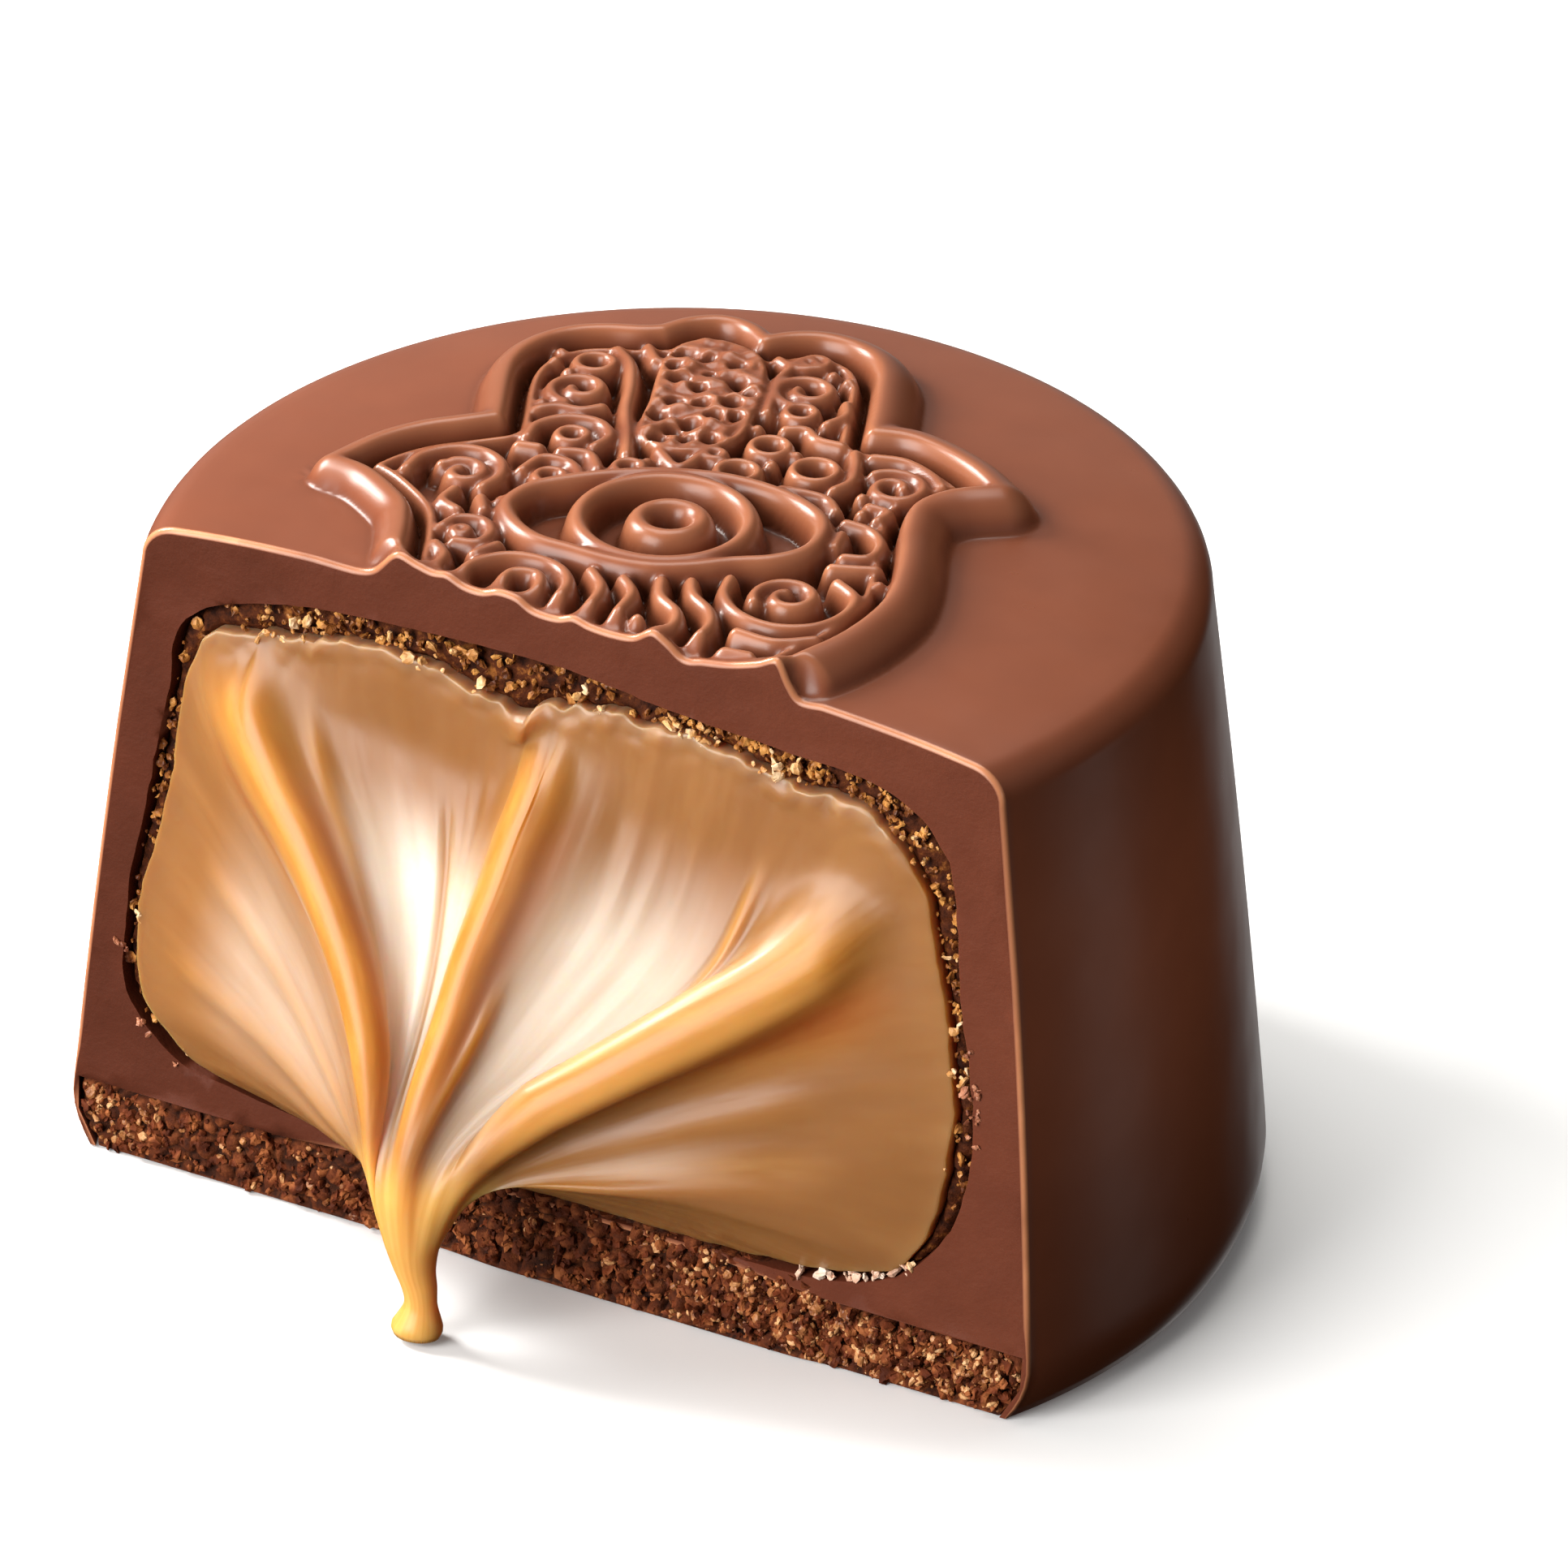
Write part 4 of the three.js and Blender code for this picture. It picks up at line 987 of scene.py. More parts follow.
# Painted highlights where the skin is drawn thin, painted pale: the strand, how many strands wide, where it
# begins and how much.
PALE_HIGHLIGHTS = [
    {"on": 7.7, "wide": 0.95, "from": 0.2, "much": 1.1},
    {"on": 6.9, "wide": 0.5, "from": 0.2, "much": 0.8},
    {"on": 4.9, "wide": 0.85, "from": 0.18, "much": 0.86},
    {"on": 3.95, "wide": 0.6, "from": 0.22, "much": 0.65},
    {"on": 3.0, "wide": 0.35, "from": 0.08, "much": 0.95},
    {"on": 10.6, "wide": 0.9, "from": 0.15, "much": 0.34},
    {"on": 9.45, "wide": 0.2, "from": 0.3, "much": 0.6},
    {"on": 16.6, "wide": 0.3, "from": 0.4, "much": 0.2},
]
# Painted shade: the creases beside the cords are painted browner.
CREASE_SHADE = [
    {"on": 1.62, "wide": 0.4, "from": 0.03, "much": 0.9},
    {"on": 5.72, "wide": 0.16, "from": 0.1, "much": 0.5},
    {"on": 8.72, "wide": 0.14, "from": 0.15, "much": 0.5},
    {"on": 9.5, "wide": 0.12, "from": 0.1, "much": 0.45},
]
# Painted light: the lower side of the right cord is painted amber, as if light shone through it.
LIT_THROUGH = [{"on": 2.14, "wide": 0.2, "from": 0.08, "much": 0.75}]
CROWDED_CORDS = 5  # the skin's columns stand closer together on this many of the cords
SOFT_START = 0.05  # a strand leaves the cut softly, over about this share of its length
STREAKS = [(1.6, 0.07), (0.6, 0.03)]  # width and depth of the streaks in the skin
SKIN_COLUMNS = 440
SKIN_ROWS = 140
DRIP_ROWS = 30
BACK_ROWS = 7
CURL = (-1.25, 0.4, 0.34)  # a small curl of torn skin at the lip: x, half width and lift
ROOF_EDGE = (15.5, 17.0)  # between these heights the edge of the filling comes to lie under the roof
TORN = 0.06  # the skin is torn and uneven over this share of its length, under the roof
LIP_ROWS = 4
LIP = 0.2  # radius of the filling's rolled edge
NECK_BLEND = (34, 12, 220)  # rows above and below the neck that flow into each other, and how often


def periodic_blend(keys, values, where):
    """Smooth interpolation of rows of values at key angles, round and round."""
    k = np.concatenate([keys[-2:] - 360, keys, keys[:3] + 360])
    v = np.concatenate([values[-2:], values, values[:3]])
    slopes = np.empty_like(v)
    for i in range(1, len(k) - 1):
        before, after = k[i] - k[i - 1], k[i + 1] - k[i]
        rise = (v[i] - v[i - 1]) / before * after + (v[i + 1] - v[i]) / after * before
        slopes[i] = rise / (before + after)
    slopes[0], slopes[-1] = slopes[1], slopes[-2]
    index = np.clip(np.searchsorted(k, where, side="right") - 1, 1, len(keys) + 2)
    width = k[index + 1] - k[index]
    t = ((where - k[index]) / width)[:, None, None]
    width = width[:, None, None]
    h00, h10 = 2 * t**3 - 3 * t**2 + 1, t**3 - 2 * t**2 + t
    h01, h11 = -2 * t**3 + 3 * t**2, t**3 - t**2
    return h00 * v[index] + h10 * width * slopes[index] + h01 * v[index + 1] + h11 * width * slopes[index + 1]


def angle_of(points):
    """Degrees round the middle of the filling, from the right over the top."""
    return np.degrees(np.arctan2(points[..., 1] - HOLLOW_CENTRE[1], points[..., 0] - HOLLOW_CENTRE[0])) % 360


def angle_on(starts, position):
    """Degrees of a place among the strands, such as 2.5 for half-way from strand 2 to strand 3."""
    whole = int(position)
    first, second = starts[whole], starts[(whole + 1) % len(starts)]
    return (first + ((second - first) % 360) * (position - whole)) % 360


def strand_samples(strand, start, shares):
    """x and z as seen, and the reach forward, at shares of a strand's length."""
    turn = math.radians(start)
    reach = NECK[1] + NECK_FLAT * NECK_RADIUS * math.sin(turn)
    end = (NECK[0] + NECK_RADIUS * math.cos(turn) - SEEN_LEFT * reach, NECK[2] - SEEN_BELOW * reach)
    line = resample(smooth_line(list(strand["path"]) + [end], 0.2), shares)
    moved = np.clip((shares - strand["flush"]) / (1 - strand["flush"]), 0, 1)
    soft = np.sqrt(moved**2 + SOFT_START**2) - SOFT_START
    forward = reach * (soft / (np.sqrt(1 + SOFT_START**2) - SOFT_START)) ** strand["grow"]
    forward *= 1 - strand["sag"] * np.sin(math.pi * shares)
    return np.column_stack([line, forward])


def filling_rim(angles):
    """x and z of the filling's edge on the cut, ragged, most of all under the roof."""
    loop = smooth_line(FILLING_EDGE, 0.15, closed=True)
    turn = angle_of(loop)
    order = np.argsort(turn)
    flat = np.column_stack([loop, np.zeros(len(loop))])
    ragged = speckle(flat, 0.9, 31.0) + 0.9 * speckle(flat, 0.42, 12.0)
    under_roof = ramp(loop[:, 1], 16.3, 17.2)
    away = loop - np.array(HOLLOW_CENTRE)
    away /= np.linalg.norm(away, axis=1, keepdims=True)
    loop = loop + away * (ragged * (0.06 + 0.17 * under_roof))[:, None]
    return np.column_stack([np.interp(angles, turn[order], loop[order, i], period=360) for i in range(2)])


def unit(vectors):
    """The same directions with a length of 1."""
    return vectors / np.maximum(np.linalg.norm(vectors, axis=-1, keepdims=True), 1e-9)


def column_angles(starts):
    """Degrees of the skin's columns, which stand closer together on the first few cords."""
    round_about = np.linspace(0, 360, 3601)
    crowd = np.ones(len(round_about))
    for cord in CORDS[:CROWDED_CORDS]:
        away = (round_about - angle_on(starts, cord["on"]) + 180) % 360 - 180
        crowd += 1.8 * np.exp(-((away / 4.5) ** 2))
    heap = np.concatenate([[0], np.cumsum((crowd[1:] + crowd[:-1]) / 2)])
    return np.interp(np.arange(SKIN_COLUMNS) / SKIN_COLUMNS * heap[-1], heap, round_about)


def drawn_skin(starts, angles):
    """The skin from the cut to the neck, column by column, and x and z of its lip."""
    shares = np.linspace(0, 1, SKIN_ROWS + 1)
    order = np.argsort(starts)
    samples = np.array([strand_samples(STRANDS[i], starts[i], shares) for i in order])
    seen = periodic_blend(starts[order], samples, angles)
    drift = (filling_rim(angles) - seen[:, 0, :2])[:, None, :] * ((1 - shares) ** 3)[None, :, None]
    seen[:, :, :2] += drift
    forward = seen[:, :, 2]
    skin = np.stack([
        seen[:, :, 0] + SEEN_LEFT * forward,
        -CUT - forward,
        seen[:, :, 1] + SEEN_BELOW * forward,
    ], axis=-1)
    return skin, seen[:, 0, :2]


def drip_tube(angles):
    """The drip from below the neck to its foot, column by column."""
    turn = np.radians(angles)[:, None]
    z = NECK[2] - (NECK[2] - DRIP[-1][0]) * (np.arange(1, DRIP_ROWS + 1) / DRIP_ROWS)
    curve = smooth_line(DRIP, 0.05)
    radius = np.interp(-z, -curve[:, 0], curve[:, 1])
    middle = np.interp(-z, -curve[:, 0], curve[:, 2])
    return np.stack([
        middle[None] + radius[None] * np.cos(turn),
        np.broadcast_to(-CUT - NECK[1], (1, DRIP_ROWS)) - NECK_FLAT * radius[None] * np.sin(turn),
        np.broadcast_to(z[None], (SKIN_COLUMNS, DRIP_ROWS)),
    ], axis=-1)


def skin_normals(surface):
    """Outward directions of the skin."""
    across = np.roll(surface, -1, axis=0) - np.roll(surface, 1, axis=0)
    down = np.gradient(surface, axis=1)
    normal = unit(np.cross(down, across))
    outward = surface - HOLLOW_MIDDLE
    facing = np.mean(np.sum(normal[:, 5:40] * outward[:, 5:40], axis=-1))
    return normal if facing >= 0 else -normal


def cord_relief(starts, angles, steps, around, share):
    """How far the cords and creases lift the skin, and how golden they make it."""
    total = steps.sum(axis=0)
    below = np.clip((np.arange(len(share)) - SKIN_ROWS) / (DRIP_ROWS * 0.8), 0, 1)
    lift = np.zeros(steps.shape)
    golden = np.zeros(steps.shape)
    for cord in CORDS:
        column = np.interp(angle_on(starts, cord["on"]), angles, np.arange(SKIN_COLUMNS), period=360)
        low = int(column) % SKIN_COLUMNS
        centre = around[low] + (column - int(column)) * steps[low]
        away = around - centre[None]
        away = (away + total / 2) % total - total / 2
        start, end = cord["wide"]
        half = start + (end - start) * share
        grown = ramp(share, cord["from"] - 0.02, cord["from"] + 0.16) * (1 - 0.8 * ramp(share, 0.72, 1.0))
        grown = grown * (1 - below)
        profile = np.exp(-((np.abs(away) / half) ** 2.4))
        lift += cord["lift"] * (half / start) ** 0.8 * grown * profile
        golden = np.maximum(golden, cord["golden"] * grown * profile)
    return lift, golden


def strand_patches(patches, strand_at, share, grows_over, fades):
    """The most that any patch along a strand gives to each point of the skin."""
    found = np.zeros((len(strand_at), len(share)))
    for patch in patches:
        across = np.exp(-((strand_at - patch["on"]) / patch["wide"]) ** 2)
        down = ramp(share, patch["from"], patch["from"] + grows_over) * fades
        found = np.maximum(found, patch["much"] * across[:, None] * down[None])
    return found


def drawn_streaks(round_place, along):
    """Low streaks that run down the skin, from places round it and lengths along it."""
    rows = np.arange(len(along))
    streaks = np.zeros((SKIN_COLUMNS, len(along)))
    sampled = rows[::6]
    for size, amount in STREAKS:
        coarse = np.array([
            speckle(np.column_stack([round_place / size, np.full(SKIN_COLUMNS, along[r] / 9)]), 1.0, 5 + size)
            for r in sampled
        ])
        streaks += amount * np.array([np.interp(rows, sampled, coarse[:, c]) for c in range(SKIN_COLUMNS)])
    return streaks


def tear_lip(lift, surface, lip, share):
    """Tears the skin under the roof, and lifts one small curl of it."""
    rows = np.flatnonzero(share < TORN)
    torn = np.array([speckle(surface[:, r], 0.5, 17.0) for r in rows]).T
    x, half, up = CURL
    curl = np.exp(-(((lip[:, 0] - x) / half) ** 2)) * ramp(lip[:, 1], *ROOF_EDGE)
    lift[:, rows] += up * curl[:, None] * np.sin(math.pi * share[rows] / TORN) ** 0.7
    lift[:, rows] += 0.16 * torn * ramp(lip[:, 1], 14.5, 17.0)[:, None] * (1 - ramp(share[rows], 0, TORN))


def rolled_rows(face_edge):
    """Rows that roll the filling's edge back from its face, first to last, and its hidden back, from
    behind the edge to near its end."""
    to_middle = unit((HOLLOW_MIDDLE - face_edge) * np.array([1, 0, 1]))
    rolled = []
    for k in range(LIP_ROWS + 1):
        turn = math.pi / 2 * k / LIP_ROWS
        ring = face_edge + to_middle * LIP * 0.12 * (1 - math.sin(turn))
        ring[:, 1] = face_edge[:, 1] + LIP * (1 - math.cos(turn))
        rolled.append(ring)
    back = []
    for k in range(1, BACK_ROWS):
        turn = math.pi / 2 * k / BACK_ROWS
        ring = HOLLOW_MIDDLE + (rolled[0] - HOLLOW_MIDDLE) * math.cos(turn)
        ring[:, 1] = -CUT + LIP + FILLING_DEPTH * math.sin(turn)
        back.append(ring)
    return rolled, back


def make_filling():
    """Soft caramel that is drawn out of the cut into folds, a neck and one drip."""
    starts = np.array([angle_of(np.array(strand["path"][0])) for strand in STRANDS])
    angles = column_angles(starts)
    skin_part, lip = drawn_skin(starts, angles)
    surface = np.concatenate([skin_part, drip_tube(angles)], axis=1)

    # the neck flows into the drip instead of turning sharply
    first, last = SKIN_ROWS - NECK_BLEND[0], SKIN_ROWS + NECK_BLEND[1]
    for _ in range(NECK_BLEND[2]):
        between = (surface[:, first - 1:last - 1] + surface[:, first + 1:last + 1]) / 2
        surface[:, first:last] = (surface[:, first:last] + between) / 2

    normal = skin_normals(surface)
    steps = np.linalg.norm(np.roll(surface, -1, axis=0) - surface, axis=-1)
    around = np.concatenate([np.zeros((1, steps.shape[1])), np.cumsum(steps, axis=0)[:-1]])
    along = np.concatenate([[0], np.cumsum(np.linalg.norm(np.diff(surface, axis=1), axis=-1).mean(0))])
    rows = surface.shape[1]
    share = np.minimum(1, np.arange(rows) / SKIN_ROWS)
    lift, golden = cord_relief(starts, angles, steps, around, share)

    # how the skin is coloured: painted highlights where it is drawn thin and along the lip, painted shade in
    # the creases beside the cords, and amber towards the drip, partly its own colour and partly painted light
    turned = (starts - starts[0]) % 360
    strand_at = np.interp((angles - starts[0]) % 360, np.append(turned, 360), np.arange(len(starts) + 1))
    ends = 1 - ramp(share, 0.7, 0.95)
    # Painted highlights on the drawn-thin panels, and a faint one along the lip under the roof.
    pale = strand_patches(PALE_HIGHLIGHTS, strand_at, share, 0.25, 1 - 0.8 * ramp(share, 0.55, 1.0))
    lip_highlight = ramp(lip[:, 1], *ROOF_EDGE)[:, None] * (1 - ramp(share, 0.0, 0.03))[None]
    pale = np.maximum(np.minimum(pale, 1), 0.12 * lip_highlight)
    crease_shade = strand_patches(CREASE_SHADE, strand_at, share, 0.2, ends)
    # Partly painted light: amber towards the drip, its own colour made lighter there, and amber on the lower
    # side of the right cord, as if light shone through.
    lit_through = strand_patches(LIT_THROUGH, strand_at, share, 0.22, ends)
    amber = np.maximum(ramp(share, 0.88, 1.0)[None], lit_through)

    half_way = SKIN_ROWS // 2
    girth = steps.sum(axis=0)[half_way]
    turn = around[:, half_way] * 2 * math.pi / girth
    round_place = girth / (2 * math.pi) * np.column_stack([np.cos(turn), np.sin(turn)])
    fade = ramp(share, 0.0, 0.15) * (1 - ramp(share, 0.75, 1.0))
    lift += drawn_streaks(round_place, along) * fade[None]
    tear_lip(lift, surface, lip, share)
    surface = surface + normal * lift[..., None]

    rolled, back = rolled_rows(surface[:, 0].copy())
    surface[:, 0] = rolled[0]
    hidden = back[::-1] + rolled[:0:-1]
    body = np.concatenate([np.array(hidden).transpose(1, 0, 2), surface], axis=1)
    skin = Skin()
    skin.sheet(body.transpose(1, 0, 2), wrap=True)
    skin.fan([HOLLOW_CENTRE[0], -CUT + FILLING_DEPTH, HOLLOW_CENTRE[1]], body[:, 0], wrap=True)
    skin.fan([DRIP[-1][2], -CUT - NECK[1], DRIP_FOOT], body[:, -1], wrap=True)
    piece = skin.build("pulled_caramel", [soft_caramel()], joined=False, sharp=179)

    def for_points(value):
        """The visible rows' values for all of the mesh's points; the lip's also stand for the hidden
        rows, and the two ends have none."""
        value = np.concatenate([np.repeat(value[:1], len(hidden), axis=0), value])
        tips = np.zeros((2 * (SKIN_COLUMNS + 1), *value.shape[2:]))
        return np.concatenate([value.reshape(-1, *value.shape[2:]), tips]).ravel()

    attributes = piece.data.attributes
    for name, value in (("golden", golden.T), ("pale", pale.T), ("amber", amber.T), ("crease_shade", crease_shade.T)):
        attributes.new(name, "FLOAT", "POINT").data.foreach_set("value", for_points(value))
    drawn_along = np.dstack([
        np.repeat(round_place[None], rows, axis=0), np.repeat(along[:, None] / 6, SKIN_COLUMNS, axis=1)
    ])
    attributes.new("drawn_along", "FLOAT_VECTOR", "POINT").data.foreach_set("vector", for_points(drawn_along))
    weld(piece.data, 0.0005 * MM)
    lay(piece, "caramel_cream", "filling")


# ------------------------------------------------------------------ loose grains

GRAIN_WAVE = 0.14  # size of the lumps and hollows on each grain


def sown_grains():
    """Rounded, uneven grains scattered over a seedbed, denser where its attribute "sown" is higher."""
    tree = bpy.data.node_groups.new("sown_grains", "GeometryNodeTree")
    tree.is_modifier = True
    sockets = [("Seedbed", "Geometry"), ("Grains per square metre", "Float"), ("Smallest", "Float")]
    sockets += [("Largest", "Float"), ("Flatness", "Float"), ("Unevenness", "Float"), ("Seed", "Int")]
    for name, kind in sockets + [("Finish", "Material")]:
        tree.interface.new_socket(name, in_out="INPUT", socket_type="NodeSocket" + kind)
    tree.interface.new_socket("Grains", in_out="OUTPUT", socket_type="NodeSocketGeometry")
    given = add_node(tree, "NodeGroupInput").outputs

    def maths(operation, first, second):
        return add_node(tree, "ShaderNodeMath", {0: first, 1: second}, operation=operation).outputs[0]

    def draw(low, high, seed_shift):
        inputs = {0: (low,) * 3, 1: (high,) * 3, "Seed": maths("ADD", given["Seed"], seed_shift)}
        return add_node(tree, "FunctionNodeRandomValue", inputs, data_type="FLOAT_VECTOR").outputs[0]

    def draw_one(seed_shift):
        inputs = {2: 0.0, 3: 1.0, "Seed": maths("ADD", given["Seed"], seed_shift)}
        return add_node(tree, "FunctionNodeRandomValue", inputs, data_type="FLOAT").outputs[1]

    sown = add_node(tree, "GeometryNodeInputNamedAttribute", {"Name": "sown"}, data_type="FLOAT").outputs[0]
    density = maths("MULTIPLY", sown, given["Grains per square metre"])
    points = add_node(
        tree, "GeometryNodeDistributePointsOnFaces",
        {"Mesh": given["Seedbed"], "Density": density, "Seed": given["Seed"]}, distribute_method="RANDOM",
    ).outputs["Points"]
    size = maths("POWER", draw_one(1), 2.0)
    size = maths("MULTIPLY", size, maths("SUBTRACT", given["Largest"], given["Smallest"]))
    size = maths("ADD", size, given["Smallest"])
    flat = add_node(tree, "ShaderNodeCombineXYZ", {"X": 1.0, "Y": 1.0, "Z": given["Flatness"]}).outputs[0]
    inputs = {0: draw(0.7, 1.25, 2), 1: flat}
    form = add_node(tree, "ShaderNodeVectorMath", inputs, operation="MULTIPLY").outputs[0]
    form = add_node(tree, "ShaderNodeVectorMath", {0: form, "Scale": size}, operation="SCALE").outputs[0]
    turn = add_node(tree, "FunctionNodeEulerToRotation", {0: draw(0.0, 2 * math.pi, 3)}).outputs[0]
    inputs = {"Segments": 7, "Rings": 5, "Radius": 0.5}
    ball = add_node(tree, "GeometryNodeMeshUVSphere", inputs).outputs["Mesh"]
    laid = add_node(
        tree, "GeometryNodeInstanceOnPoints",
        {"Points": points, "Instance": ball, "Rotation": turn, "Scale": form},
    ).outputs[0]
    solid = add_node(tree, "GeometryNodeRealizeInstances", {"Geometry": laid}).outputs[0]
    inputs = {"Scale": 1 / (GRAIN_WAVE * MM), "Detail": 1.0}
    wave = add_node(tree, "ShaderNodeTexNoise", inputs).outputs["Fac"]
    push = maths("MULTIPLY", maths("SUBTRACT", wave, 0.5), given["Unevenness"])
    normal = add_node(tree, "GeometryNodeInputNormal").outputs[0]
    offset = add_node(tree, "ShaderNodeVectorMath", {0: normal, "Scale": push}, operation="SCALE").outputs[0]
    uneven = add_node(tree, "GeometryNodeSetPosition", {"Geometry": solid, "Offset": offset}).outputs[0]
    inputs = {"Geometry": uneven, "Material": given["Finish"]}
    finished = add_node(tree, "GeometryNodeSetMaterial", inputs).outputs[0]
    add_node(tree, "NodeGroupOutput", {0: finished})
    return tree


GRAIN_TREE = sown_grains()


def sow(name, slot, grid, sown, finish, density, sizes, flatness, unevenness, seed):
    """Grains of one kind over a grid of points; density is for each square millimetre where sown is 1."""
    rows, columns = grid.shape[:2]
    index = np.arange(rows * columns).reshape(rows, columns)
    quads = np.stack([index[:-1, :-1], index[:-1, 1:], index[1:, 1:], index[1:, :-1]], axis=-1)
    mesh = bpy.data.meshes.new("seedbed")
    mesh.from_pydata((grid.reshape(-1, 3) * MM).tolist(), [], quads.reshape(-1, 4).tolist())
    mesh.attributes.new("sown", "FLOAT", "POINT").data.foreach_set("value", sown.ravel())
    bed = bpy.data.objects.new("seedbed", mesh)
    bpy.context.scene.collection.objects.link(bed)
    modifier = bed.modifiers.new("grains", "NODES")
    modifier.node_group = GRAIN_TREE
    given = {
        "Grains per square metre": density / MM**2,
        "Smallest": sizes[0] * MM,
        "Largest": sizes[1] * MM,
        "Flatness": flatness,
        "Unevenness": unevenness * MM,
        "Seed": seed,
        "Finish": finish,
    }
    for socket in GRAIN_TREE.interface.items_tree:
        if socket.in_out == "INPUT" and socket.name in given:
            modifier[socket.identifier] = given[socket.name]
    made = bpy.data.meshes.new_from_object(bed.evaluated_get(bpy.context.evaluated_depsgraph_get()))
    bed.modifiers.remove(modifier)
    bpy.data.objects.remove(bed)
    bpy.data.meshes.remove(mesh)
    made.name = name
    made.polygons.foreach_set("use_smooth", [False] * len(made.polygons))
    piece = bpy.data.objects.new(name, made)
    bpy.context.scene.collection.objects.link(piece)
    lay(piece, slot)


# ------------------------------------------------------------------ lining and base

# Rows of the lining round the mouth: share of the way from the shell to the filling, and depth.
LINING_ROWS = [
    (0.0, 4.0), (0.0, 1.1), (0.06, 0.6), (0.3, 0.38), (0.55, 0.3), (0.8, 0.3), (1.05, 0.5), (1.05, 4.0),
]
LINING_ROUGH = 0.28  # how far its face stands in and out
# How thickly the toffee crumb lies round the mouth of the hollow: x, z, reach and thickness.
CRUMB_PATCHES = [
    (5.5, 17.8, 3.4, 1.0), (9.3, 17.3, 1.6, 1.0), (-1.5, 17.8, 3.6, 0.42), (-7.5, 17.6, 3.4, 0.5),
    (12.0, 14.0, 2.4, 0.6), (12.3, 9.0, 2.6, 0.55), (-12.6, 12.0, 4.0, 0.35), (-13.2, 7.0, 2.5, 0.3),
]
# Pale beads and flakes of caramel at the edge of the filling: x, z, reach and how many.
CREAM_PATCHES = [
    (10.6, 16.5, 0.4, 1.0), (11.75, 13.4, 0.22, 1.0), (11.95, 11.4, 0.25, 1.0), (11.95, 9.9, 0.3, 0.8),
    (12.05, 8.6, 0.3, 1.0), (11.9, 7.1, 0.3, 0.9), (10.8, 3.8, 0.25, 0.8), (0.6, 18.0, 0.5, 0.7),
    (3.4, 17.9, 0.8, 0.6), (6.3, 17.5, 0.8, 0.6), (-4.5, 18.0, 1.4, 0.35), (-8.6, 17.35, 1.0, 0.4),
    (-12.9, 7.4, 0.25, 1.0), (-13.2, 6.8, 0.2, 1.0), (-11.9, 4.3, 0.18, 1.0), (-11.4, 3.8, 0.18, 1.0),
    (-10.9, 3.4, 0.18, 0.8),
]
# Broken flakes of pale cream along the filling's lower right edge.
SHARD_PATCHES = [
    (7.6, 2.5, 0.3, 0.7), (8.3, 2.6, 0.3, 1.0), (9.0, 2.75, 0.3, 1.0), (9.7, 3.0, 0.3, 1.0),
    (10.5, 3.45, 0.28, 1.0),
]
# Shavings of the shell at its inner edge, and a chip on its outer one.
SHAVING_PATCHES = [
    (12.45, 10.9, 0.2, 0.8), (12.55, 9.6, 0.3, 1.0), (12.6, 8.8, 0.35, 1.0), (12.55, 8.1, 0.25, 0.8),
    (-13.35, 6.3, 0.2, 1.0), (-12.7, 4.1, 0.25, 1.0), (-11.8, 3.35, 0.2, 0.8),
]
BAND_DEPTH = 0.22  # the loose crumb of the lining lies this far behind the cut
RIM_DEPTH = 0.06  # the flakes and shards of the filling this far
LIP_DEPTH = -0.02  # and the shavings of the shell on the cut itself


def patchwork(grid, patches):
    """How much lies at each point: the most that any round patch gives it."""
    found = np.zeros(grid.shape[:2])
    for x, z, reach, amount in patches:
        away = np.hypot(grid[..., 0] - x, grid[..., 2] - z) / reach
        found = np.maximum(found, amount * np.exp(-(away**4)))
    return found


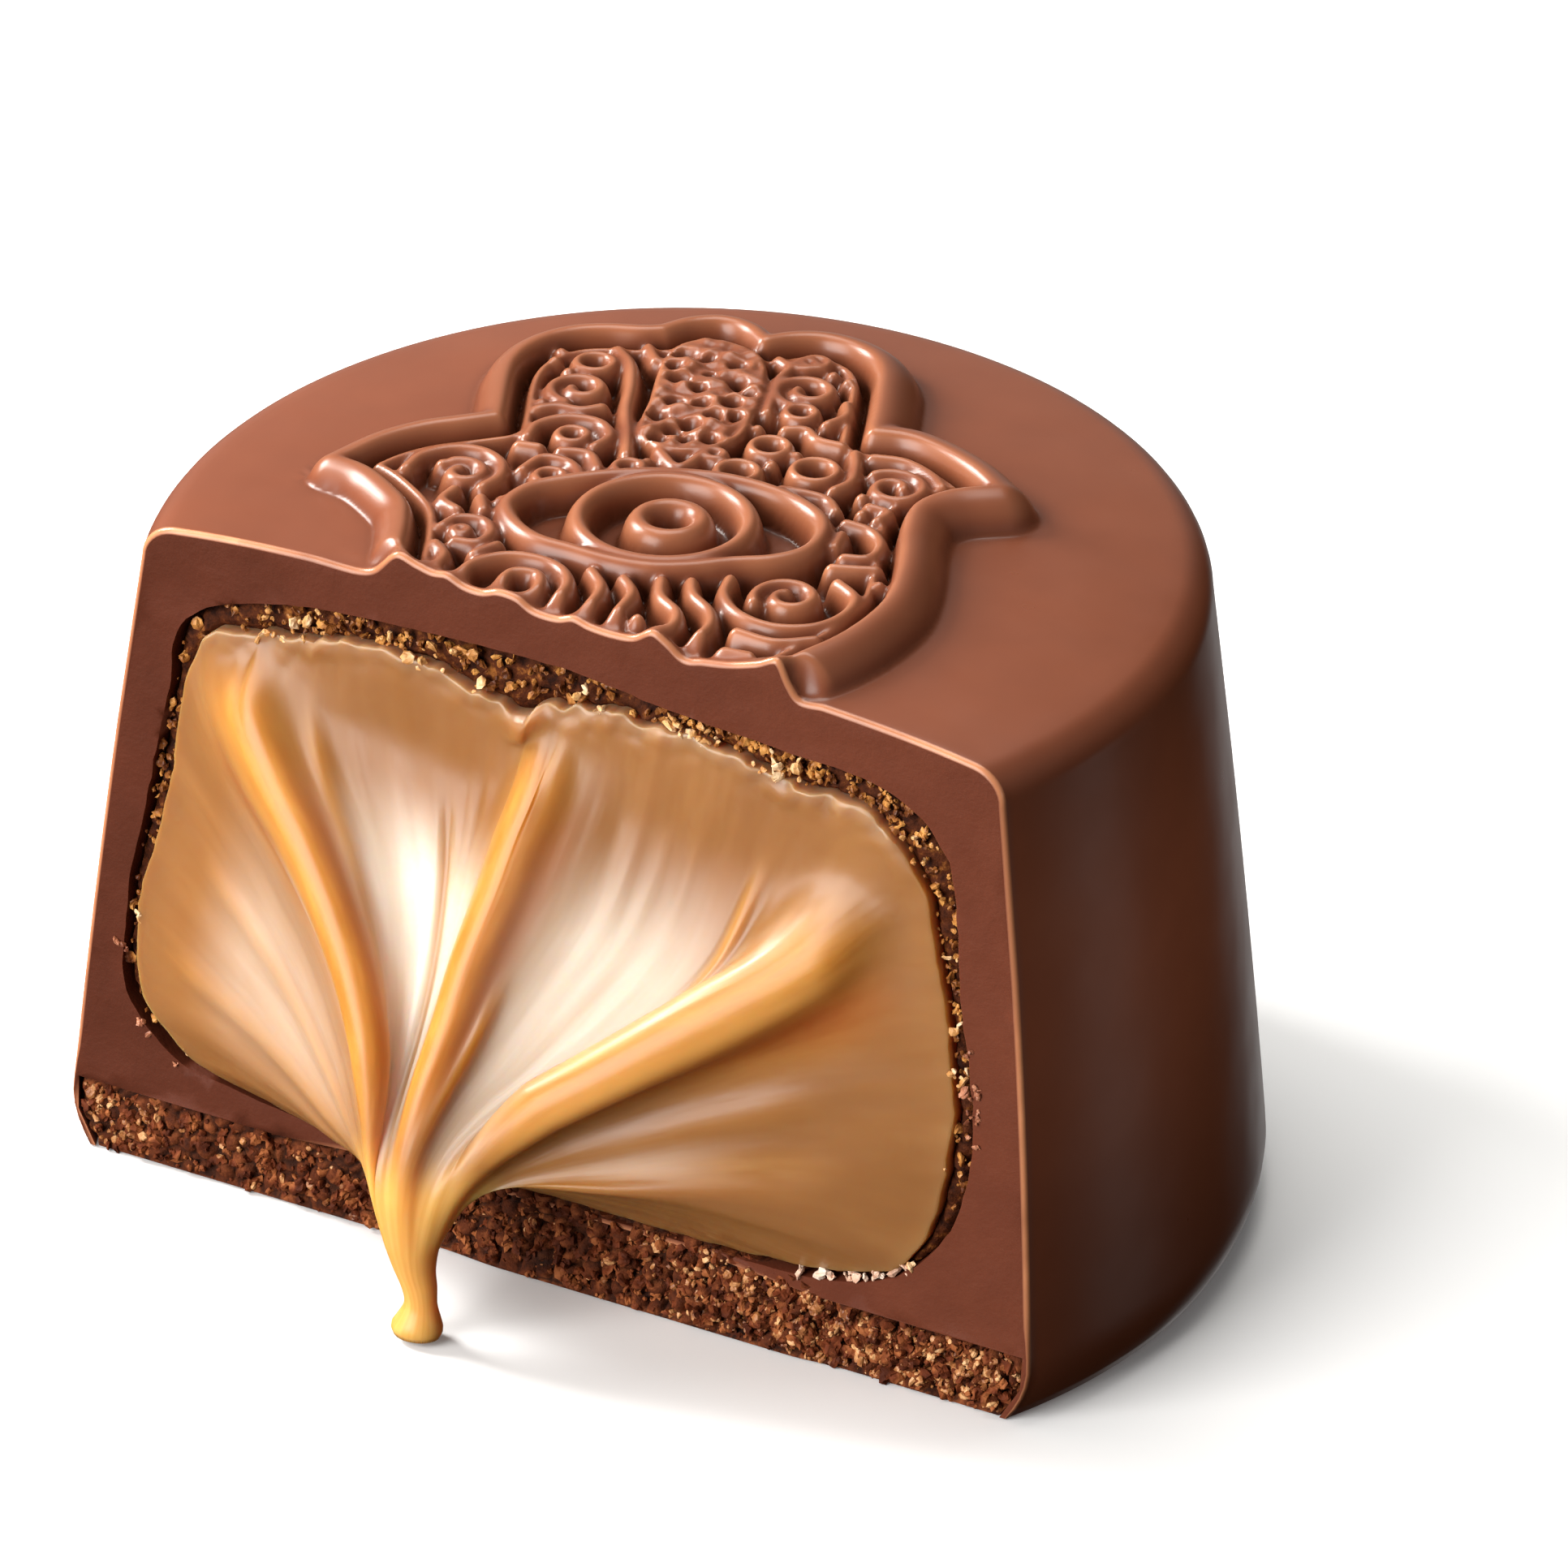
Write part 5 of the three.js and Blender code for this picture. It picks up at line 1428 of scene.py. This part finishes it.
def make_lining():
    """A ragged band of crumb between the mouth of the hollow and the filling, with loose grains on it."""
    mouth = smooth_line(CAVITY_EDGE, 0.12, closed=True)
    turn = angle_of(mouth)
    mouth = mouth[np.argsort(turn)]
    turn = np.sort(turn)
    inner = filling_rim(turn)

    def ring(share, depth):
        loop = mouth + (inner - mouth) * share
        return np.column_stack([loop[:, 0], np.full(len(loop), -CUT + depth), loop[:, 1]])

    def seedbed(shares, depth):
        rows = np.array([ring(share, depth) for share in shares])
        return np.concatenate([rows, rows[:, :1]], axis=1)

    rows = []
    for share, depth in LINING_ROWS:
        row = ring(share, depth)
        if 0 < share < 1:
            rough = 0.5 * speckle(row, 0.32, share * 7) + 0.35 * speckle(row, 0.14, share * 5)
            row[:, 1] += LINING_ROUGH * rough
        rows.append(row)
    skin = Skin()
    skin.sheet(np.array(rows + rows[:1]), wrap=True)
    lay(skin.build("crumb_lining", [toffee_lining()]), "toffee_crumb", "lining")

    band = seedbed((0.08, 0.3, 0.6, 0.92), BAND_DEPTH)
    toffee = crumb_finish("toffee_crumb_grains", (84, 40, 16), (146, 88, 38), (212, 150, 78), 0.42, 0.3)
    sow("toffee_crumbs", "toffee_crumb", band, patchwork(band, CRUMB_PATCHES), toffee,
        density=30, sizes=(0.1, 0.38), flatness=0.45, unevenness=0.32, seed=3)
    rim = seedbed((0.1, 0.5, 1.0, 1.25), RIM_DEPTH)
    cream = crumb_finish("cream_flakes", (186, 126, 66), (214, 162, 102), (240, 206, 164), 0.3)
    sow("cream_flakes", "caramel_cream", rim, patchwork(rim, CREAM_PATCHES), cream,
        density=20, sizes=(0.12, 0.42), flatness=0.4, unevenness=0.24, seed=8)
    whitish = crumb_finish("cream_shards", (206, 160, 134), (228, 192, 168), (246, 226, 208), 0.3)
    sow("cream_shards", "caramel_cream", rim, patchwork(rim, SHARD_PATCHES), whitish,
        density=70, sizes=(0.16, 0.5), flatness=0.35, unevenness=0.34, seed=11)
    lip = seedbed((-0.5, -0.2, 0.1, 0.4), LIP_DEPTH)
    tan = crumb_finish("chocolate_shavings", (120, 66, 44), (158, 98, 70), (196, 134, 102), 0.4)
    sow("chocolate_shavings", "milk_chocolate", lip, patchwork(lip, SHAVING_PATCHES), tan,
        density=34, sizes=(0.12, 0.36), flatness=0.4, unevenness=0.24, seed=4)


BASE_STEP = 0.07
BASE_SHOWN_RISE = 0.42  # on the cut the crumb stands this much higher right of the drip, up to the filling
BASE_SHOWN_REACH = 0.14  # and this much further forward
CRUMB_LIFTS = (0.3, 0.1, 0.14)  # how far large crumbs, small crumbs and broad waves stand forward
CRACK = (0.16, 0.22)  # width and depth of the cracks between large crumbs
LEDGE = 0.5  # the broken face goes this far back before the plain disc begins


def broken_face(wall, foot):
    """The base's face on the cut, as a grid from its foot up, and how deep each point lies in a crack, which
    also sets the painted shade there.
    """
    share_x = np.linspace(0, 1, round(2 * wall / BASE_STEP))
    grid = []
    for share in np.linspace(0, 1, round(BASE_TOP / BASE_STEP) + 1):
        z = share * BASE_TOP
        radius = foot + (wall - foot) * np.clip(z / BASE_FOOT, 0, 1)
        cx, cy = centre_at(z)
        half = np.sqrt(radius**2 - ((-CUT - cy) / DEPTH_TO_WIDTH) ** 2)
        left, right = cx - half, cx + half
        x = left + (right - left) * share_x
        top = BASE_TOP + BASE_MOUND * (1 - ramp(np.abs(x), 4.5, 8.2)) - BASE_GAP
        shown = ramp(x, -3.6, -1.6) * (1 - ramp(x, 7.2, 8.8))
        top += BASE_SHOWN_RISE * shown
        grid.append(np.column_stack([x, -CUT + 0.02 - BASE_SHOWN_REACH * shown, share * top]))
    grid = np.array(grid)
    flat = grid.reshape(-1, 3)
    large, small, waves = lumps(flat, 0.5, 2.0), lumps(flat, 0.2, 8.0), speckle(flat, 1.3, 4.0)
    crack = np.exp(-((large[:, 1] - large[:, 0]) / CRACK[0]) ** 2)
    crag = CRUMB_LIFTS[0] * (0.5 - large[:, 0]) + CRUMB_LIFTS[1] * (0.5 - small[:, 0])
    crag += CRUMB_LIFTS[2] * waves - CRACK[1] * crack
    coarse = ramp(flat[:, 0], -9, 9) * 0.6 + 0.6
    foot_fade = ramp(flat[:, 2], 0.0, 0.25)
    flat[:, 1] -= crag * coarse * foot_fade - 0.06
    return flat.reshape(grid.shape), crack


def make_base():
    """The pressed crumb base: a disc whose broken face shows at the cut, with loose crumbs on it."""
    wall = WIDEST_RADIUS - BASE_SKIN - BASE_GAP
    foot = wall - (WIDEST_RADIUS - FOOT_RADIUS)
    face, crack = broken_face(wall, foot)
    heights = face[:, 0, 2]
    radii = foot + (wall - foot) * np.clip(heights / BASE_FOOT, 0, 1)
    shares = np.linspace(0, 1, 60)
    disc = np.array([round_row(radius, z, shares, -CUT + LEDGE) for radius, z in zip(radii, heights)])
    skin = Skin()
    # painted shade in the cracks
    skin.sheet(face, painted_shade=0.85 * crack)
    skin.sheet(disc)
    skin.sheet(np.array([face[:, 0], disc[:, 0]]))
    skin.sheet(np.array([face[:, -1], disc[:, -1]]))
    for broken, arc in ((face[0], disc[0]), (face[-1], disc[-1])):
        ledge = broken.copy()
        ledge[:, 1] = -CUT + LEDGE
        ledge[[0, -1]] = arc[[0, -1]]
        skin.sheet(np.array([broken, ledge]))
        middle = [*arc.mean(axis=0)[:2], arc[0, 2]]
        skin.fan(middle, np.vstack([arc, ledge[-2:0:-1]]), wrap=True)
    lay(skin.build("pressed_crumb_base", [pressed_crumb()]), "cocoa_crumb", "base")

    bed = face[1:-1:2, 2:-2:2]
    ends = ramp(bed[..., 0], 1.0, 9.0) + 0.8 * (1 - ramp(bed[..., 0], -14.5, -11.0))
    ends = np.clip(ends, 0, 1)
    dark = crumb_finish("cocoa_crumb_grains", (68, 28, 12), (106, 50, 25), (156, 92, 52), 0.65, 0.12)
    sow("cocoa_crumbs", "cocoa_crumb", bed, 0.6 + 0.4 * ends, dark,
        density=26, sizes=(0.1, 0.4), flatness=0.6, unevenness=0.34, seed=5)
    biscuit = crumb_finish("biscuit_grains", (120, 68, 36), (172, 112, 64), (224, 172, 118), 0.4)
    sow("biscuit_crumbs", "cocoa_crumb", bed, 0.06 + 0.94 * ends, biscuit,
        density=21, sizes=(0.1, 0.34), flatness=0.6, unevenness=0.2, seed=6)


# ------------------------------------------------------------------ studio

STUDIO_MIDDLE = Vector((0, 0, 10 * MM))
# Area lights round the truffle: direction and distance in metres, width and height, power, colour.
AREA_LIGHTS = {
    "key": ((-0.37, -0.89, 0.33), 0.42, (0.3, 0.38), 3.2, (1.0, 0.97, 0.94)),
    "side": ((-0.83, -0.04, 0.56), 0.14, (0.05, 0.05), 0.3, (1.0, 0.97, 0.93)),
    "overhead": ((-0.25, 0.2, 1.0), 0.42, (0.3, 0.3), 1.5, (1.0, 0.97, 0.92)),
}
# A small spot low on the right: place and aim in millimetres, power, width in degrees.
LOW_SPOT = ((70, -25, 22), (15.5, 2, 12.5), 0.06, 18)
SPOT_SIZE = 6.0
# Soft patches of the surroundings: direction, inner and outer angle, strength.
SURROUNDINGS = [
    ((0.0, 0.0, 1.0), 20, 100, 0.14),
    ((-0.3, -0.8, -0.45), 10, 70, 0.4),
    ((0.88, -0.15, 0.6), 8, 58, 0.13),
    ((-0.5, 0.82, 0.12), 6, 32, 0.35),
    ((-0.3, 0.83, -0.47), 6, 20, 0.5),
    ((0.72, 0.6, -0.36), 2, 10, 0.5),
]
FLOOR_HALF = 1.6  # metres
FLOOR_DROP = 0.05  # the floor lies this far under the truffle


def set_up(lamp, place, aim):
    """Puts a light at its place, turned to what it lights."""
    made = bpy.data.objects.new(lamp.name, lamp)
    made.location = place
    made.rotation_mode = "QUATERNION"
    made.rotation_quaternion = (aim - place).to_track_quat("-Z", "Y")
    bpy.context.scene.collection.objects.link(made)


def make_lights():
    """Three soft lights round the truffle and one small spot."""
    for name, (direction, distance, size, power, colour) in AREA_LIGHTS.items():
        lamp = bpy.data.lights.new(name, "AREA")
        lamp.shape = "RECTANGLE"
        lamp.size, lamp.size_y = size
        lamp.energy = power
        lamp.color = colour
        set_up(lamp, STUDIO_MIDDLE + Vector(direction).normalized() * distance, STUDIO_MIDDLE)
    place, aim, power, width = LOW_SPOT
    lamp = bpy.data.lights.new("low_spot", "SPOT")
    lamp.energy = power
    lamp.spot_size = math.radians(width)
    lamp.spot_blend = 1.0
    lamp.shadow_soft_size = SPOT_SIZE * MM
    set_up(lamp, Vector(place) * MM, Vector(aim) * MM)


def glow(tree, total, direction, inner, outer, strength):
    """Adds a soft patch of light to the surroundings, centred on a direction; angles in degrees."""
    place = add_node(tree, "ShaderNodeTexCoord").outputs["Generated"]
    inputs = {0: place, 1: Vector(direction).normalized()}
    toward = add_node(tree, "ShaderNodeVectorMath", inputs, operation="DOT_PRODUCT").outputs["Value"]
    inputs = {
        "Value": toward, "From Min": math.cos(math.radians(outer)), "From Max": math.cos(math.radians(inner)),
        "To Min": 0.0, "To Max": strength,
    }
    fall = add_node(tree, "ShaderNodeMapRange", inputs, interpolation_type="SMOOTHSTEP").outputs["Result"]
    return add_node(tree, "ShaderNodeMath", {0: fall, 1: total}, operation="ADD").outputs["Value"]


def make_surroundings():
    """Warm white light from all around, brighter in soft patches."""
    world = bpy.data.worlds.new("studio")
    bpy.context.scene.world = world
    world.use_nodes = True
    background = world.node_tree.nodes["Background"]
    total = 0.0
    for patch in SURROUNDINGS:
        total = glow(world.node_tree, total, *patch)
    background.inputs["Color"].default_value = (1.0, 0.98, 0.96, 1)
    world.node_tree.links.new(total, background.inputs["Strength"])


def make_floor():
    """A pale floor that takes the truffle's shadow and throws no light back on it."""
    look = Finish("pale_floor", Roughness=0.9, Specular_IOR_Level=0.1)
    look.shader.inputs["Emission Color"].default_value = (1.0, 1.0, 1.0, 1.0)
    look.shader.inputs["Emission Strength"].default_value = 0.04
    grain = look.noise(12.0, 2, 0.5)
    look.wire("Base Color", look.shades(grain, (0.3, (250, 252, 254)), (0.7, (253, 254, 255))))
    mesh = bpy.data.meshes.new("floor")
    corners = [(x * FLOOR_HALF, y * FLOOR_HALF, 0) for x, y in ((-1, -1), (1, -1), (1, 1), (-1, 1))]
    mesh.from_pydata(corners, [], [(0, 1, 2, 3)])
    mesh.materials.append(look.material)
    floor = bpy.data.objects.new("floor", mesh)
    floor.location = (0, 0, -FLOOR_DROP * MM)
    floor.visible_glossy = False
    floor.visible_diffuse = False
    floor.visible_shadow = False
    bpy.context.scene.collection.objects.link(floor)


# ------------------------------------------------------------------ camera

VIEW_AZIMUTH = math.radians(28.29)  # how far round to the right of the cut face the camera stands
VIEW_ELEVATION = math.radians(29.08)
VIEW_ROLL = math.asin(0.030625)
VIEW_DISTANCE = 1200.0
VIEW_TARGET = (3.068, 11.108)  # right of and above the origin, as the camera sees it
LENS_MM = 1026.5


def make_camera():
    """A camera far off with a long lens, as the photograph shows hardly any perspective."""
    a, e = VIEW_AZIMUTH, VIEW_ELEVATION
    right = Vector((math.cos(a), math.sin(a), 0))
    back = Vector((math.sin(a) * math.cos(e), -math.cos(a) * math.cos(e), math.sin(e)))
    up = back.cross(right)
    across = right * math.cos(VIEW_ROLL) + up * math.sin(VIEW_ROLL)
    above = up * math.cos(VIEW_ROLL) - right * math.sin(VIEW_ROLL)
    place = right * VIEW_TARGET[0] + up * VIEW_TARGET[1] + back * VIEW_DISTANCE
    camera = bpy.data.objects.new("camera", bpy.data.cameras.new("camera"))
    camera.data.sensor_width = 36.0
    camera.data.lens = LENS_MM
    camera.data.clip_start = 0.01
    camera.data.clip_end = 20.0
    turned = Matrix((across, above, back)).transposed().to_4x4()
    camera.matrix_world = Matrix.Translation(place * MM) @ turned
    bpy.context.scene.collection.objects.link(camera)
    bpy.context.scene.camera = camera


make_camera()
make_lights()
make_surroundings()
make_floor()
bpy.context.scene.view_settings.view_transform = "Standard"
make_shell()
make_filling()
make_lining()
make_base()
